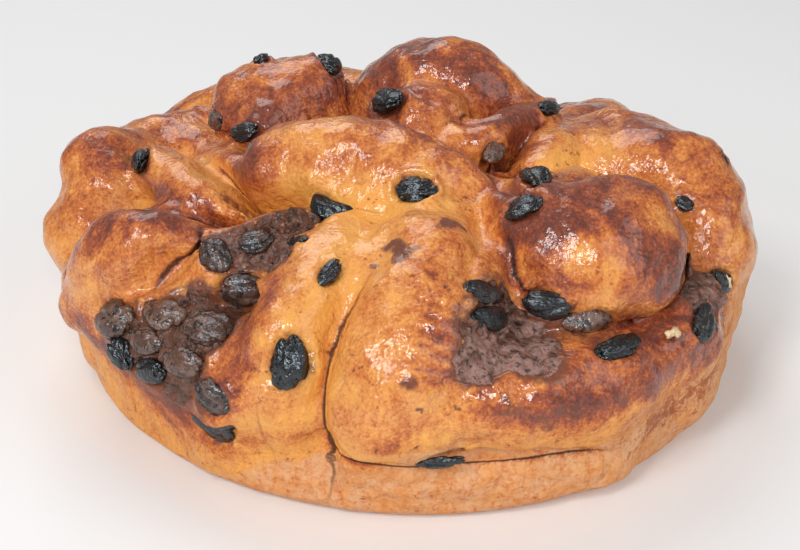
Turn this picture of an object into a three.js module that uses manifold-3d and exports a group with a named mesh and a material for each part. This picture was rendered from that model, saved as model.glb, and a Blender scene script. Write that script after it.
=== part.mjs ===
// A round plaited sweet loaf with raisins, baked in a low ring and torn open where its filling shows.
// Units are millimetres, +Z is up, and the origin is the middle of the flat base.
//
// Places on the loaf are given in degrees as a bearing and a climb. Bearing runs round the loaf from
// the front (-Y) and is positive towards the right (+X). Climb is the slope of a ray that leaves a
// flat disc inside the loaf: 0 at the widest girth, 90 at the top, about -30 at the foot.

import * as THREE from 'three';
import { mergeVertices } from 'three/addons/utils/BufferGeometryUtils.js';
import Module from 'manifold-3d';

const wasm = await Module();
wasm.setup();

// Core: a cushion of dough under the rolls
const DISC_HEIGHT = 30;       // height of the disc that the rays leave
const DISC_RADIUS = 50;       // radius of that disc
const WALL_REACH = 49;        // from the disc's edge to the upright wall
const TOP_REACH = 34;         // from the disc up to the core's top
const FOOT_RADIUS = 95.5;     // the wall draws in to this at the base
const FOOT_ROUNDING = 3;      // softness of the edge between wall and base
const FOOT_SINK = 0.8;        // how far the soft edge is sunk, so that the base is flat
const OVAL = 3;               // the plan is wider by this towards the front right and back left
const RIGHT_DRAW = 3.5;       // the plan's right side draws in by this
const BACK_DROP = 14;         // the back shoulder is lower than the front one
const DOUGH_BLEND = 1;        // softness of the valleys between rolls
const CORE_SINK = 9;          // the core lies this far under the line that the rolls are measured from
const CORE_SINK_RISE = 0.35;  // the core is sunk in full from this rise of a ray upwards

// Skin: how finely the rays are spread, and how the search for the skin walks inwards
const SKIN_DETAIL = 14;
const BASE_RAYS = { spread: -0.75, rim: -0.55 };
const SEARCH = { clearance: 30, share: 0.85, steps: 60, close: 0.02, slope: 0.92 };
const SPINE_STEPS = 5;        // straight lengths between two stations of a roll

// Raisins and filling
const GAP = 0.35;             // clearance between a raisin and its seat
const FILLING_GAP = 1.0;      // clearance between a filling and its seat
const SEAT_OPENING = 4;       // a seat is cut this far out over the filling's crest
const RAISIN_SIDES = 7;
const RAISIN_BANDS = 4;
const RAISIN_THICKNESS = 0.62; // share of a raisin's width
const RAISIN_SINK = 0.06;     // how far its middle lies under the skin, as a share of its width
const RAISIN_LUMP = 0.09;     // unevenness, as a share of its size
const FILLING_SECTORS = 16;
const FILLING_RINGS = 4;
const FILLING_DEPTH = 4.5;    // how far it goes in
const FILLING_RAGGED = 0.12;  // unevenness of its outline

// Rolls of dough laid on the core. Each station is a bearing, a climb, the roll's radius there and
// how far the roll stands proud of the core.
const ROLLS = {
  crown: [[-62, 56, 11, 10], [-52, 64, 18, 16], [-22, 69, 21, 17], [14, 66, 19, 14], [36, 56, 10, 7]],
  rearRidge: [[-152, 72, 11, 5], [166, 77, 17, 22], [130, 75, 17, 20], [108, 66, 12, 12]],
  rearSlope: [[-90, 84, 12, 9], [30, 85, 17, 16], [46, 78, 15, 15], [52, 71, 10, 9]],
  rearFold: [[96, 67, 8, 12], [80, 71, 9, 13.5], [48, 73, 9, 12.5], [33, 74, 8, 9]],
  arch: [[100, 54, 13, 6], [85, 60, 14, 11], [60, 62, 12, 8]],
  rightLobe: [[95, 49, 15, 8.5], [88, 44, 21, 13.5], [80, 31, 22, 15.8], [77, 20, 21, 10.5], [69, 9, 15, 3]],
  knob: [[36, 37, 27, 16], [44, 34, 28, 17]],
  collar: [[25, 52, 10, 9], [19, 42, 10, 9], [14, 35, 9, 6]],
  front: [[8, 47, 20, 10], [5, 36, 24, 11], [1, 22, 24, 9], [-1, 8, 22, 6], [0, -4, 16, 3]],
  rimRight: [[-6, 2, 14, 4], [5, 2, 14, 4], [17, 2, 14, 4], [30, 3, 14, 4], [43, 6, 14, 3], [56, 8, 13, 1]],
  strand: [[-10, 52, 12, 7], [-16, 40, 14, 8], [-18, 26, 15, 8], [-18, 10, 15, 5], [-18, -8, 14, 2]],
  ribbon: [[-28, 52, 11, 6], [-36, 43, 12, 6], [-41, 32, 12, 5], [-45, 21, 10, 3]],
  leftBun: [[-50, 38, 11, 8], [-54, 31, 16, 15.5], [-60, 22, 17, 14], [-64, 12, 14, 7]],
  leftEar: [[-98, 29, 11, 9], [-89, 27.5, 12.5, 16.3], [-84, 24, 14, 14], [-80, 15, 15, 10.5]],
  leftFold: [[-76, 42, 11, 13], [-61, 45, 12, 14], [-49, 47, 9, 10]],
  shoulder: [[-94, 44, 13, -1], [-80, 51, 16, 6], [-64, 55, 13, 7]],
  leftKnob: [[-101, 62, 18, 13], [-116, 57, 17, 18], [-118, 65, 19, 20.5]],
  rimLeft: [[-16, 0, 13, 2], [-32, 1, 14, 3], [-48, 3, 14, 3.5], [-66, 5, 14, 6.5]],
  backRight: [[100, 45, 15, 3], [112, 36, 20, 6], [126, 22, 21, 9], [138, 8, 16, 5]],
  backMiddle: [[146, 47, 15, 7], [158, 38, 20, 11], [172, 24, 21, 11], [184, 8, 16, 5]],
  backLeft: [[194, 46, 15, 7], [206, 36, 20, 11], [220, 22, 21, 10], [232, 8, 16, 5]],
  backCorner: [[238, 44, 14, 3], [249, 32, 17, 5], [259, 18, 17, 7]],
  backCap: [[-158, 62, 14, 4], [-138, 56, 15, 5], [-118, 48, 13, 2]],
  backRim: [[80, 6, 14, 1], [125, 4, 15, 2], [180, 2, 15, 3], [235, 5, 15, 3], [290, 6, 14, 2]],
};

// Seams where one fold overlaps another: stations of a bearing, a climb, half the seam's width and its
// depth. The fold on top lies to the left of a seam's run, and the fold tucked under it to the right.
const SEAMS = {
  crownFront: [
    [-60, 53, 2.2, 4], [-50, 52, 2.4, 6], [-40, 55, 2.4, 6], [-26, 57, 2.2, 5], [-12, 57, 2.2, 3.5],
    [4, 55, 2.2, 2], [22, 53, 2.2, 1.5],
  ],
  crownBack: [
    [28, 54, 2.2, 2.5], [31, 63, 2.2, 3.5], [22, 70, 2.2, 4], [0, 77, 2.2, 4], [-64, 81, 2.2, 4.5],
    [-85, 73, 2.4, 5], [-72, 64, 2.4, 5], [-62, 57, 2.2, 3],
  ],
  shoulderGap: [[-74, 52, 2, 4], [-60, 53, 2, 4], [-50, 49, 2, 3]],
  earEdge: [
    [-74, 40, 1.8, 2], [-71, 36, 1.8, 4.5], [-68, 30, 1.8, 7], [-66, 24, 1.8, 7], [-66, 14, 1.8, 6],
    [-66, 5, 1.8, 4],
  ],
  foldToBun: [
    [-47, 43.5, 1.6, 3.5], [-50, 42.5, 1.6, 5.5], [-55, 40, 1.6, 6], [-61, 35, 1.6, 6], [-64, 30, 1.6, 4],
  ],
  bunToRibbon: [[-48.5, 20, 1.4, 3.5], [-47.5, 27, 1.4, 5], [-46, 35, 1.4, 5], [-48, 42, 1.4, 3]],
  leftKnobFront: [[-110, 46, 2.2, 4], [-86, 61, 2.4, 6], [-87, 70, 2.2, 6], [-98, 77, 2.2, 4]],
  pit: [[-136, 74, 4, 4], [-118, 78, 4, 4], [-68, 82, 4, 3]],
  rearFoldLow: [
    [30, 71, 1.8, 3], [40, 69.5, 1.8, 5], [56, 69, 1.8, 6], [72, 67.5, 1.8, 6], [86, 65, 1.8, 4],
  ],
  rearFoldTop: [[27, 78, 1.8, 3], [55, 78.5, 1.8, 4], [84, 77, 1.8, 4.5], [97, 71, 1.8, 3.5]],
  knobBack: [
    [60, 26, 1.8, 4.5], [64, 34, 1.8, 5], [66, 41, 1.8, 5], [54, 49, 1.8, 5], [40, 52, 1.8, 5],
    [30, 51, 1.8, 4.5], [24, 47, 1.8, 3],
  ],
  knobFront: [
    [22, 45, 1.8, 4], [21, 38, 1.8, 5], [23, 33, 2, 6], [28, 27, 2.2, 6.5], [34, 21, 2.2, 6.5],
    [41, 17, 2.2, 6.5], [48, 18, 2.2, 6], [56, 22, 1.8, 5],
  ],
  collar: [[20, 52, 1.5, 2], [16, 45, 1.5, 3], [12, 39, 1.5, 3], [10, 35, 1.5, 2]],
  lobeToArch: [[96, 55, 2.2, 3], [77, 52, 2.2, 4], [68, 47, 2.2, 3]],
  backFirst: [[122, 52, 2.2, 3], [134, 38, 2.2, 5], [149, 22, 2.2, 5], [160, 6, 2.2, 3]],
  backSecond: [[170, 54, 2.2, 3], [182, 38, 2.2, 5], [196, 22, 2.2, 5], [208, 6, 2.2, 3]],
  backThird: [[220, 52, 2.2, 3], [230, 38, 2.2, 5], [239, 22, 2.2, 4.5], [246, 8, 2.2, 3]],
};
const SEAM_STEPS = 4;         // straight lengths between two stations of a seam
const SEAM_ARM = 75;          // millimetres on the loaf for each unit between two rays
const SEAM_TOP = 0.8;         // how fast a seam fades under the fold on top, as a share of half its width
const SEAM_TUCK = 2.4;        // and over the tucked fold
const SEAM_BLUNT = 0.2;       // bluntness of a seam's bottom
const SEAM_PULL = 1.9;        // corners of the skin nearer to a seam than this are drawn onto it
const SEAM_BRIDGE = 0.4;      // raisins and filling lie across a seam at this share of its depth

// Open creases: stations of a bearing, a climb, half the crease's width and its depth
const CREASES = {
  plait: [[-10, 28, 1, 2], [-11, 20, 1.6, 3.5], [-12, 8, 1.8, 4], [-12, -8, 1.6, 3.5], [-11, -20, 1, 2]],
  crack: [[-9, -9, 1.2, 2.5], [0, -10, 1.8, 5], [12, -11, 1.8, 5], [22, -12, 1.6, 4], [30, -15, 1, 2]],
};
const CREASE_STEPS = 3;       // straight lengths between two stations of a crease
const CREASE_OVERRUN = 4;     // how far a crease's cutter stands clear of the skin

// Filling that has burst out: bearing, climb, half its width round the loaf, half its height, turn and
// how far its crest swells out of the dough
const FILLINGS = {
  filling_left: [-39, 10, 19, 13, 12, 0.5],
  filling_middle: [-33, 43, 12, 6, 20, 0.8],
  filling_right: [15, 23.5, 14, 9, -10, 1.4],
  filling_edge: [54, 16, 9, 8, 20, 1],
  filling_back: [179, 13, 13, 7, 8, 1.2],
};

// Raisins that show from the front: bearing, climb, length, width, turn from level, bend
const RAISINS = [
  [-79, 41, 16, 8, 12, 0], [-116, 63, 6, 5, 0, 0], [-134, 72, 11, 8.5, 60, 0],
  [-126, 78, 10, 6, 35, 0], [-40, 85, 13, 9, -15, 0], [-88, 59.5, 10, 6, 65, 0],
  [-23, 57, 12, 8, -10, 0.3], [3, 60, 11.5, 9, -5, 0], [34, 55, 11, 7.5, 80, 0], [26, 50, 11, 7, 5, 0],
  [96, 64, 11, 6, -35, 0], [67, 34, 5.5, 4, -55, 0], [80, 34, 5, 4, 0, 0], [-14, 38.5, 8.5, 5, 72, 0],
  [-17, 17, 14, 10, 80, 0], [-29, -9, 15, 7.5, 12, 0.5], [-39, 36, 10.5, 8, -28, 0],
  [-34, 42.5, 9, 7, 35, 0], [-33, 30, 12, 9, 8, 0], [-24, 45, 9, 4, 0, 0], [-50, 11.5, 14, 10, 15, 0],
  [-42, 18, 13.5, 9, 12, 0], [-33, 19, 14, 11.5, -22, 0], [-47, 2, 10, 9, -38, 0],
  [-42, 10, 11, 6.5, 15, 0], [-40, 2.5, 11, 7, 10, 0], [-34, 9.5, 12, 9, 0, 0],
  [-28, 2.5, 10.5, 8.5, -25, 0], [13.5, 34, 12, 6, -8, 0], [13.5, 28, 13, 7.5, -5, 0],
  [24, 29, 11.5, 7, -20, 0], [31, 22, 12.5, 7.5, -5, 0], [32, 16, 14.5, 8, 0, 0],
  [49.5, 11, 12.5, 8, 15, 0], [63, 12, 9.5, 6.5, -38, 0], [5, -9, 12, 4, 0, 0],
  [-103, 51.5, 10, 6.5, 40, 0], [48, 69, 8.5, 5.5, 10, 0],
];

// Raisins at the back, spread by a rule from a seeded draw
const BACK_RAISINS = { count: 10, from: 108, to: 246, stray: 7, lowClimb: -13, highClimb: 18, seed: 4 };
const BACK_LENGTH = [8, 13];
const BACK_WIDTH = [0.6, 0.75];

const COLOURS = { crust: 0xb5661f, filling: 0x4a2a1f, raisin: 0x17130f };
const ROUGHNESS = { crust: 0.45, filling: 0.5, raisin: 0.35 };

// Direction of the ray at a bearing and climb
function rayAt(bearing, climb) {
  const b = THREE.MathUtils.degToRad(bearing);
  const c = THREE.MathUtils.degToRad(climb);
  return new THREE.Vector3(Math.sin(b) * Math.cos(c), -Math.cos(b) * Math.cos(c), Math.sin(c));
}

// Point on a ray, a given reach away from where it leaves the disc
function pointOn(ray, reach) {
  const out = DISC_RADIUS + reach;
  return new THREE.Vector3(ray.x * out, ray.y * out, DISC_HEIGHT + ray.z * reach);
}

function ovalAt(ray) {
  const right = Math.max(ray.x, 0);
  return -2 * OVAL * ray.x * ray.y - RIGHT_DRAW * right * right;
}

// Reach of the bare core along a ray: a low dome over the disc and an upright wall under its edge
function coreReach(ray) {
  if (ray.z < 0) {
    const wall = (DISC_RADIUS + WALL_REACH) / Math.sqrt(Math.max(1 - ray.z * ray.z, 1e-6)) - DISC_RADIUS;
    return Math.min(wall + ovalAt(ray), DISC_HEIGHT / -ray.z);
  }
  const drop = BACK_DROP * Math.max(ray.y, 0) * 4 * ray.z * (1 - ray.z);
  const shoulder = (WALL_REACH - TOP_REACH) * THREE.MathUtils.smoothstep(1 - ray.z, 0, 1);
  return TOP_REACH + shoulder - drop + ovalAt(ray);
}

// Distance-like measure from the bare core: along the ray above the disc, level from the wall below it
function coreGap(ray, reach, point) {
  if (ray.z >= 0) {
    const sink = CORE_SINK * THREE.MathUtils.smoothstep(ray.z, 0, CORE_SINK_RISE);
    return SEARCH.slope * (reach - coreReach(ray) + sink);
  }
  const low = Math.min(Math.max(1 - point.z / DISC_HEIGHT, 0), 1.2);
  const wall = DISC_RADIUS + WALL_REACH - (DISC_RADIUS + WALL_REACH - FOOT_RADIUS) * low * low;
  return Math.hypot(point.x, point.y) - wall - ovalAt(ray);
}

// A roll as a chain of tapered lengths along a smooth line through its stations
function rollChain(stations) {
  const places = stations.map(([bearing, climb, radius, proud]) => {
    const ray = rayAt(bearing, climb);
    return pointOn(ray, coreReach(ray) + proud - radius);
  });
  const line = new THREE.CatmullRomCurve3(places, false, 'catmullrom');
  const girth = new THREE.CatmullRomCurve3(
    stations.map((station) => new THREE.Vector3(station[2], 0, 0)), false, 'catmullrom');
  const steps = (stations.length - 1) * SPINE_STEPS;
  const knots = Array.from({ length: steps + 1 }, (_, i) => ({
    point: line.getPoint(i / steps),
    radius: girth.getPoint(i / steps).x,
  }));
  const box = new THREE.Box3().setFromPoints(knots.map((knot) => knot.point));
  const middle = box.getCenter(new THREE.Vector3());
  const span = Math.max(...knots.map((knot) => knot.point.distanceTo(middle) + knot.radius));
  return { knots, middle, span };
}

const CHAINS = Object.values(ROLLS).map(rollChain);
const CHAIN_INFLUENCE = 10;   // a roll further away than this doesn't shape the skin

// Distance from a point to a roll
function rollGap(point, chain) {
  const along = new THREE.Vector3();
  const offset = new THREE.Vector3();
  let nearest = Infinity;
  for (let i = 1; i < chain.knots.length; i += 1) {
    const a = chain.knots[i - 1];
    const b = chain.knots[i];
    along.subVectors(b.point, a.point);
    offset.subVectors(point, a.point);
    const share = THREE.MathUtils.clamp(offset.dot(along) / along.lengthSq(), 0, 1);
    const radius = a.radius + share * (b.radius - a.radius);
    nearest = Math.min(nearest, offset.addScaledVector(along, -share).length() - radius);
  }
  return nearest;
}

// A seam as a chain of rays along a smooth line through its stations, with half its width and its depth
function seamChain(stations) {
  const rays = new THREE.CatmullRomCurve3(
    stations.map(([bearing, climb]) => rayAt(bearing, climb)), false, 'catmullrom');
  const sizes = new THREE.CatmullRomCurve3(
    stations.map((station) => new THREE.Vector3(station[2], station[3], 0)), false, 'catmullrom');
  const steps = (stations.length - 1) * SEAM_STEPS;
  return Array.from({ length: steps + 1 }, (_, i) => ({
    ray: rays.getPoint(i / steps),
    size: sizes.getPoint(i / steps),
  }));
}

const SEAM_CHAINS = Object.values(SEAMS).map(seamChain);

// The nearest place on a seam: its ray, how far off it is, and the depth that the seam takes at this ray
function nearestOnSeam(ray, chain) {
  const nearest = { away: Infinity, ray: null, depth: 0 };
  for (let i = 1; i < chain.length; i += 1) {
    const start = chain[i - 1];
    const run = chain[i].ray.clone().sub(start.ray);
    const share = THREE.MathUtils.clamp(ray.clone().sub(start.ray).dot(run) / run.lengthSq(), 0, 1);
    const place = start.ray.clone().addScaledVector(run, share);
    const off = ray.clone().sub(place);
    const away = SEAM_ARM * off.length();
    if (away < nearest.away) {
      const size = start.size.clone().lerp(chain[i].size, share);
      const tucked = off.dot(start.ray.clone().cross(run)) < 0;
      const width = size.x * (tucked ? SEAM_TUCK : SEAM_TOP);
      nearest.away = away;
      nearest.ray = place.normalize();
      nearest.depth = size.y * Math.exp(SEAM_BLUNT - Math.hypot(away / width, SEAM_BLUNT));
    }
  }
  return nearest;
}

function seamDepth(ray) {
  return SEAM_CHAINS.reduce((depth, chain) => depth + nearestOnSeam(ray, chain).depth, 0);
}

// Draws a ray onto the nearest seam, so that the seam's bottom is an edge of the skin
function pullToSeam(ray) {
  const places = SEAM_CHAINS.map((chain) => nearestOnSeam(ray, chain));
  const nearest = places.reduce((best, place) => (place.away < best.away ? place : best));
  if (nearest.away < SEAM_PULL) {
    ray.copy(nearest.ray);
  }
}

// Distance-like measure from the loaf's skin: rolls and core melt together, seams are pressed in, and
// the base is cut level
function skinGap(ray, reach, seam) {
  const point = pointOn(ray, reach);
  let melt = Math.exp(-THREE.MathUtils.clamp(coreGap(ray, reach, point) / DOUGH_BLEND, -60, 60));
  for (const chain of CHAINS) {
    if (point.distanceTo(chain.middle) - chain.span < CHAIN_INFLUENCE) {
      melt += Math.exp(-THREE.MathUtils.clamp(rollGap(point, chain) / DOUGH_BLEND, -60, 60));
    }
  }
  const dough = seam - DOUGH_BLEND * Math.log(Math.max(melt, 1e-30));
  const floor = -point.z - FOOT_SINK;
  const high = Math.max(dough, floor);
  const low = Math.min(dough, floor);
  return high + FOOT_ROUNDING * Math.log1p(Math.exp((low - high) / FOOT_ROUNDING));
}

// Reach of the skin along a ray, found by walking inwards from outside, with a share of the seams' depth
function skinReach(ray, seamShare) {
  const seam = seamShare * seamDepth(ray);
  let reach = coreReach(ray) + SEARCH.clearance;
  for (let step = 0; step < SEARCH.steps; step += 1) {
    const gap = skinGap(ray, reach, seam);
    reach -= gap * SEARCH.share;
    if (Math.abs(gap) < SEARCH.close) {
      break;
    }
  }
  return ray.z < 0 ? Math.min(reach, DISC_HEIGHT / -ray.z) : reach;
}

function skinPoint(bearing, climb) {
  const ray = rayAt(bearing, climb);
  return pointOn(ray, skinReach(ray, SEAM_BRIDGE));
}

// Axes on the skin at a place: level and to the right, up the slope, and outwards
function skinFrame(bearing, climb) {
  const spread = 3;
  const wide = spread / Math.max(Math.cos(THREE.MathUtils.degToRad(climb)), 0.2);
  const level = skinPoint(bearing + wide, climb).sub(skinPoint(bearing - wide, climb)).normalize();
  const upward = skinPoint(bearing, climb + spread).sub(skinPoint(bearing, climb - spread)).normalize();
  const out = new THREE.Vector3().crossVectors(level, upward).normalize();
  return { point: skinPoint(bearing, climb), level, upward: out.clone().cross(level), out };
}

// Random numbers from 0 to 1 that are the same on every run
function seededDraw(seed) {
  let state = seed;
  return () => {
    state = (state * 1664525 + 1013904223) % 4294967296;
    return state / 4294967296;
  };
}

// A geometry with its shared corners merged, as a solid for cuts
function solidOf(geometry, matrix = new THREE.Matrix4()) {
  const bare = geometry.clone().applyMatrix4(matrix);
  bare.deleteAttribute('normal');
  bare.deleteAttribute('uv');
  const merged = mergeVertices(bare);
  const mesh = new wasm.Mesh({
    numProp: 3,
    vertProperties: new Float32Array(merged.attributes.position.array),
    triVerts: new Uint32Array(merged.index.array),
  });
  mesh.merge();
  return new wasm.Manifold(mesh);
}

// The largest body of a solid, as a geometry
function geometryOf(solid) {
  const bodies = solid.decompose();
  const largest = bodies.reduce((best, body) => (body.volume() > best.volume() ? body : best));
  const mesh = largest.getMesh();
  const geometry = new THREE.BufferGeometry();
  geometry.setAttribute('position', new THREE.BufferAttribute(mesh.vertProperties, 3));
  geometry.setIndex(new THREE.BufferAttribute(mesh.triVerts, 1));
  geometry.computeVertexNormals();
  return geometry;
}

// The bare loaf: rays spread evenly over a ball, with few of them on the flat base
function loafGeometry() {
  const geometry = new THREE.IcosahedronGeometry(1, SKIN_DETAIL);
  geometry.deleteAttribute('normal');
  geometry.deleteAttribute('uv');
  const merged = mergeVertices(geometry);
  const corners = merged.attributes.position;
  const ray = new THREE.Vector3();
  for (let i = 0; i < corners.count; i += 1) {
    ray.fromBufferAttribute(corners, i).normalize();
    const height = ray.z < BASE_RAYS.spread
      ? THREE.MathUtils.mapLinear(ray.z, -1, BASE_RAYS.spread, -1, BASE_RAYS.rim)
      : THREE.MathUtils.mapLinear(ray.z, BASE_RAYS.spread, 1, BASE_RAYS.rim, 1);
    const level = Math.hypot(ray.x, ray.y);
    const stretch = level > 0 ? Math.sqrt(Math.max(1 - height * height, 0)) / level : 0;
    ray.set(ray.x * stretch, ray.y * stretch, height);
    pullToSeam(ray);
    const point = pointOn(ray, skinReach(ray, 1));
    corners.setXYZ(i, point.x, point.y, Math.max(point.z, 0));
  }
  return merged;
}

// A wedge that opens a crease: a three-cornered section carried along the stations, pointed at both ends
function creaseGeometry(stations) {
  const rows = new THREE.CatmullRomCurve3(
    stations.map(([bearing, climb]) => new THREE.Vector3(bearing, climb, 0)), false, 'catmullrom');
  const sizes = new THREE.CatmullRomCurve3(
    stations.map((station) => new THREE.Vector3(station[2], station[3], 0)), false, 'catmullrom');
  const steps = (stations.length - 1) * CREASE_STEPS;
  const corners = [];
  const faces = [];
  const middles = Array.from({ length: steps + 1 }, (_, i) => {
    const place = rows.getPoint(i / steps);
    return skinFrame(place.x, place.y);
  });
  middles.forEach((frame, i) => {
    const before = middles[Math.max(i - 1, 0)].point;
    const after = middles[Math.min(i + 1, steps)].point;
    const size = sizes.getPoint(i / steps);
    const side = after.clone().sub(before).cross(frame.out).normalize();
    const flare = size.x * (1 + CREASE_OVERRUN / size.y);
    const mouth = frame.point.clone().addScaledVector(frame.out, CREASE_OVERRUN);
    corners.push(frame.point.clone().addScaledVector(frame.out, -size.y));
    corners.push(mouth.clone().addScaledVector(side, flare));
    corners.push(mouth.clone().addScaledVector(side, -flare));
  });
  for (let i = 0; i < steps; i += 1) {
    for (let k = 0; k < 3; k += 1) {
      const here = 3 * i + k;
      const beside = 3 * i + (k + 1) % 3;
      faces.push(here, here + 3, beside, beside, here + 3, beside + 3);
    }
  }
  const last = 3 * steps;
  faces.push(0, 1, 2, last, last + 2, last + 1);
  const geometry = new THREE.BufferGeometry().setFromPoints(corners);
  geometry.setIndex(faces);
  return geometry;
}

// A patch of filling: a lens on the skin with a ragged outline, opened above where it cuts its seat
function fillingGeometry([bearing, climb, halfWidth, halfHeight, turn, crest], opening) {
  const frame = skinFrame(bearing, climb);
  const tilt = THREE.MathUtils.degToRad(turn);
  const wide = THREE.MathUtils.radToDeg(1 / Math.hypot(frame.point.x, frame.point.y));
  const tall = THREE.MathUtils.radToDeg(1 / coreReach(rayAt(bearing, climb)));
  const corners = [];
  const faces = [];
  const layer = (ring, sector, swell) => {
    const share = ring / FILLING_RINGS;
    const angle = (2 * Math.PI * sector) / FILLING_SECTORS;
    const ragged = 1 + FILLING_RAGGED * (Math.sin(3 * angle + bearing) + Math.sin(5 * angle));
    const across = share * halfWidth * ragged * Math.cos(angle);
    const up = share * halfHeight * ragged * Math.sin(angle);
    const east = across * Math.cos(tilt) - up * Math.sin(tilt);
    const north = across * Math.sin(tilt) + up * Math.cos(tilt);
    const ray = rayAt(bearing + east * wide, climb + north * tall);
    const arch = 1 - share * share;
    return pointOn(ray, skinReach(ray, SEAM_BRIDGE) + swell * arch);
  };
  const indexOf = (side, ring, sector) => {
    if (ring === FILLING_RINGS) {
      return sector % FILLING_SECTORS;
    }
    const first = FILLING_SECTORS + side * (1 + (FILLING_RINGS - 1) * FILLING_SECTORS);
    return ring === 0 ? first : first + 1 + (ring - 1) * FILLING_SECTORS + (sector % FILLING_SECTORS);
  };
  for (let sector = 0; sector < FILLING_SECTORS; sector += 1) {
    corners.push(layer(FILLING_RINGS, sector, 0));
  }
  [crest + opening, -FILLING_DEPTH].forEach((swell) => {
    corners.push(layer(0, 0, swell));
    for (let ring = 1; ring < FILLING_RINGS; ring += 1) {
      for (let sector = 0; sector < FILLING_SECTORS; sector += 1) {
        corners.push(layer(ring, sector, swell));
      }
    }
  });
  const addFace = (side, a, b, c) => faces.push(a, side ? c : b, side ? b : c);
  for (let side = 0; side < 2; side += 1) {
    for (let sector = 0; sector < FILLING_SECTORS; sector += 1) {
      addFace(side, indexOf(side, 0, 0), indexOf(side, 1, sector), indexOf(side, 1, sector + 1));
      for (let ring = 1; ring < FILLING_RINGS; ring += 1) {
        const inner = indexOf(side, ring, sector);
        const innerNext = indexOf(side, ring, sector + 1);
        const outer = indexOf(side, ring + 1, sector);
        const outerNext = indexOf(side, ring + 1, sector + 1);
        addFace(side, inner, outer, outerNext);
        addFace(side, inner, outerNext, innerNext);
      }
    }
  }
  const geometry = new THREE.BufferGeometry().setFromPoints(corners);
  geometry.setIndex(faces);
  return geometry;
}

// The seat of a filling: the same patch with its rim and underside grown by the gap, and open above
function seatGeometry(row) {
  const geometry = fillingGeometry(row, SEAT_OPENING);
  geometry.computeVertexNormals();
  const corners = geometry.attributes.position;
  const sideCount = 1 + (FILLING_RINGS - 1) * FILLING_SECTORS;
  const lastRing = FILLING_SECTORS + 1 + (FILLING_RINGS - 2) * FILLING_SECTORS;
  const cornerAt = (i) => new THREE.Vector3().fromBufferAttribute(corners, i);
  const grow = (i, outward) => {
    const moved = cornerAt(i).addScaledVector(outward, FILLING_GAP);
    corners.setXYZ(i, moved.x, moved.y, moved.z);
  };
  for (let i = 0; i < FILLING_SECTORS; i += 1) {
    const inner = cornerAt(lastRing + i).lerp(cornerAt(lastRing + sideCount + i), 0.5);
    grow(i, cornerAt(i).sub(inner).normalize());
  }
  for (let i = FILLING_SECTORS + sideCount; i < corners.count; i += 1) {
    grow(i, new THREE.Vector3().fromBufferAttribute(geometry.attributes.normal, i));
  }
  return geometry;
}

// A raisin: an uneven flattened ball, bent along its length, grown by a margin where it cuts its seat
function raisinGeometry(length, width, bend, lumpTurn, margin) {
  const geometry = new THREE.SphereGeometry(1, RAISIN_SIDES, RAISIN_BANDS);
  geometry.rotateZ(Math.PI / 2);
  geometry.deleteAttribute('normal');
  geometry.deleteAttribute('uv');
  const merged = mergeVertices(geometry);
  const corners = merged.attributes.position;
  for (let i = 0; i < corners.count; i += 1) {
    const x = corners.getX(i);
    const y = corners.getY(i);
    const z = corners.getZ(i);
    const lump = 1 + RAISIN_LUMP * Math.sin(4 * x + lumpTurn) * Math.cos(3 * y - 2 * z + lumpTurn);
    const along = x * lump * (length / 2 + margin);
    const across = y * lump * (width / 2 + margin) + bend * width * (x * x - 0.4);
    corners.setXYZ(i, along, across, z * lump * ((width * RAISIN_THICKNESS) / 2 + margin));
  }
  return merged;
}

// Where a raisin sits: its length turned on the skin, its flat side against the dough
function raisinPose(bearing, climb, width, turn) {
  const frame = skinFrame(bearing, climb);
  const angle = THREE.MathUtils.degToRad(turn);
  const along = frame.level.clone().multiplyScalar(Math.cos(angle));
  along.addScaledVector(frame.upward, Math.sin(angle));
  const across = frame.out.clone().cross(along);
  const place = frame.point.clone().addScaledVector(frame.out, -RAISIN_SINK * width);
  return new THREE.Matrix4().makeBasis(along, across, frame.out).setPosition(place);
}

// Raisins at the back: bearings step evenly across the back, the rest is drawn
function backRaisins() {
  const draw = seededDraw(BACK_RAISINS.seed);
  const between = ([low, high]) => low + (high - low) * draw();
  return Array.from({ length: BACK_RAISINS.count }, (_, i) => {
    const place = THREE.MathUtils.lerp(BACK_RAISINS.from, BACK_RAISINS.to, i / (BACK_RAISINS.count - 1));
    const bearing = place + between([-BACK_RAISINS.stray, BACK_RAISINS.stray]);
    const climb = between([BACK_RAISINS.lowClimb, BACK_RAISINS.highClimb]);
    const length = between(BACK_LENGTH);
    return [bearing, climb, length, length * between(BACK_WIDTH), between([-90, 90]), 0];
  });
}

function finish(colour, roughness) {
  return new THREE.MeshStandardMaterial({ color: colour, roughness, metalness: 0 });
}

function addMesh(group, name, geometry, material) {
  const mesh = new THREE.Mesh(geometry, material);
  mesh.name = name;
  group.add(mesh);
  return mesh;
}

const babka = new THREE.Group();
babka.name = 'babka';
const fillings = new THREE.Group();
const raisins = new THREE.Group();
babka.add(fillings, raisins);

const fillingSolids = Object.values(FILLINGS).map((row) => solidOf(fillingGeometry(row, 0)));
let loafSolid = solidOf(loafGeometry());
for (const stations of Object.values(CREASES)) {
  loafSolid = loafSolid.subtract(solidOf(creaseGeometry(stations)));
}
Object.values(FILLINGS).forEach((row, k) => {
  loafSolid = loafSolid.subtract(solidOf(seatGeometry(row)).add(fillingSolids[k]));
});

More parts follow.
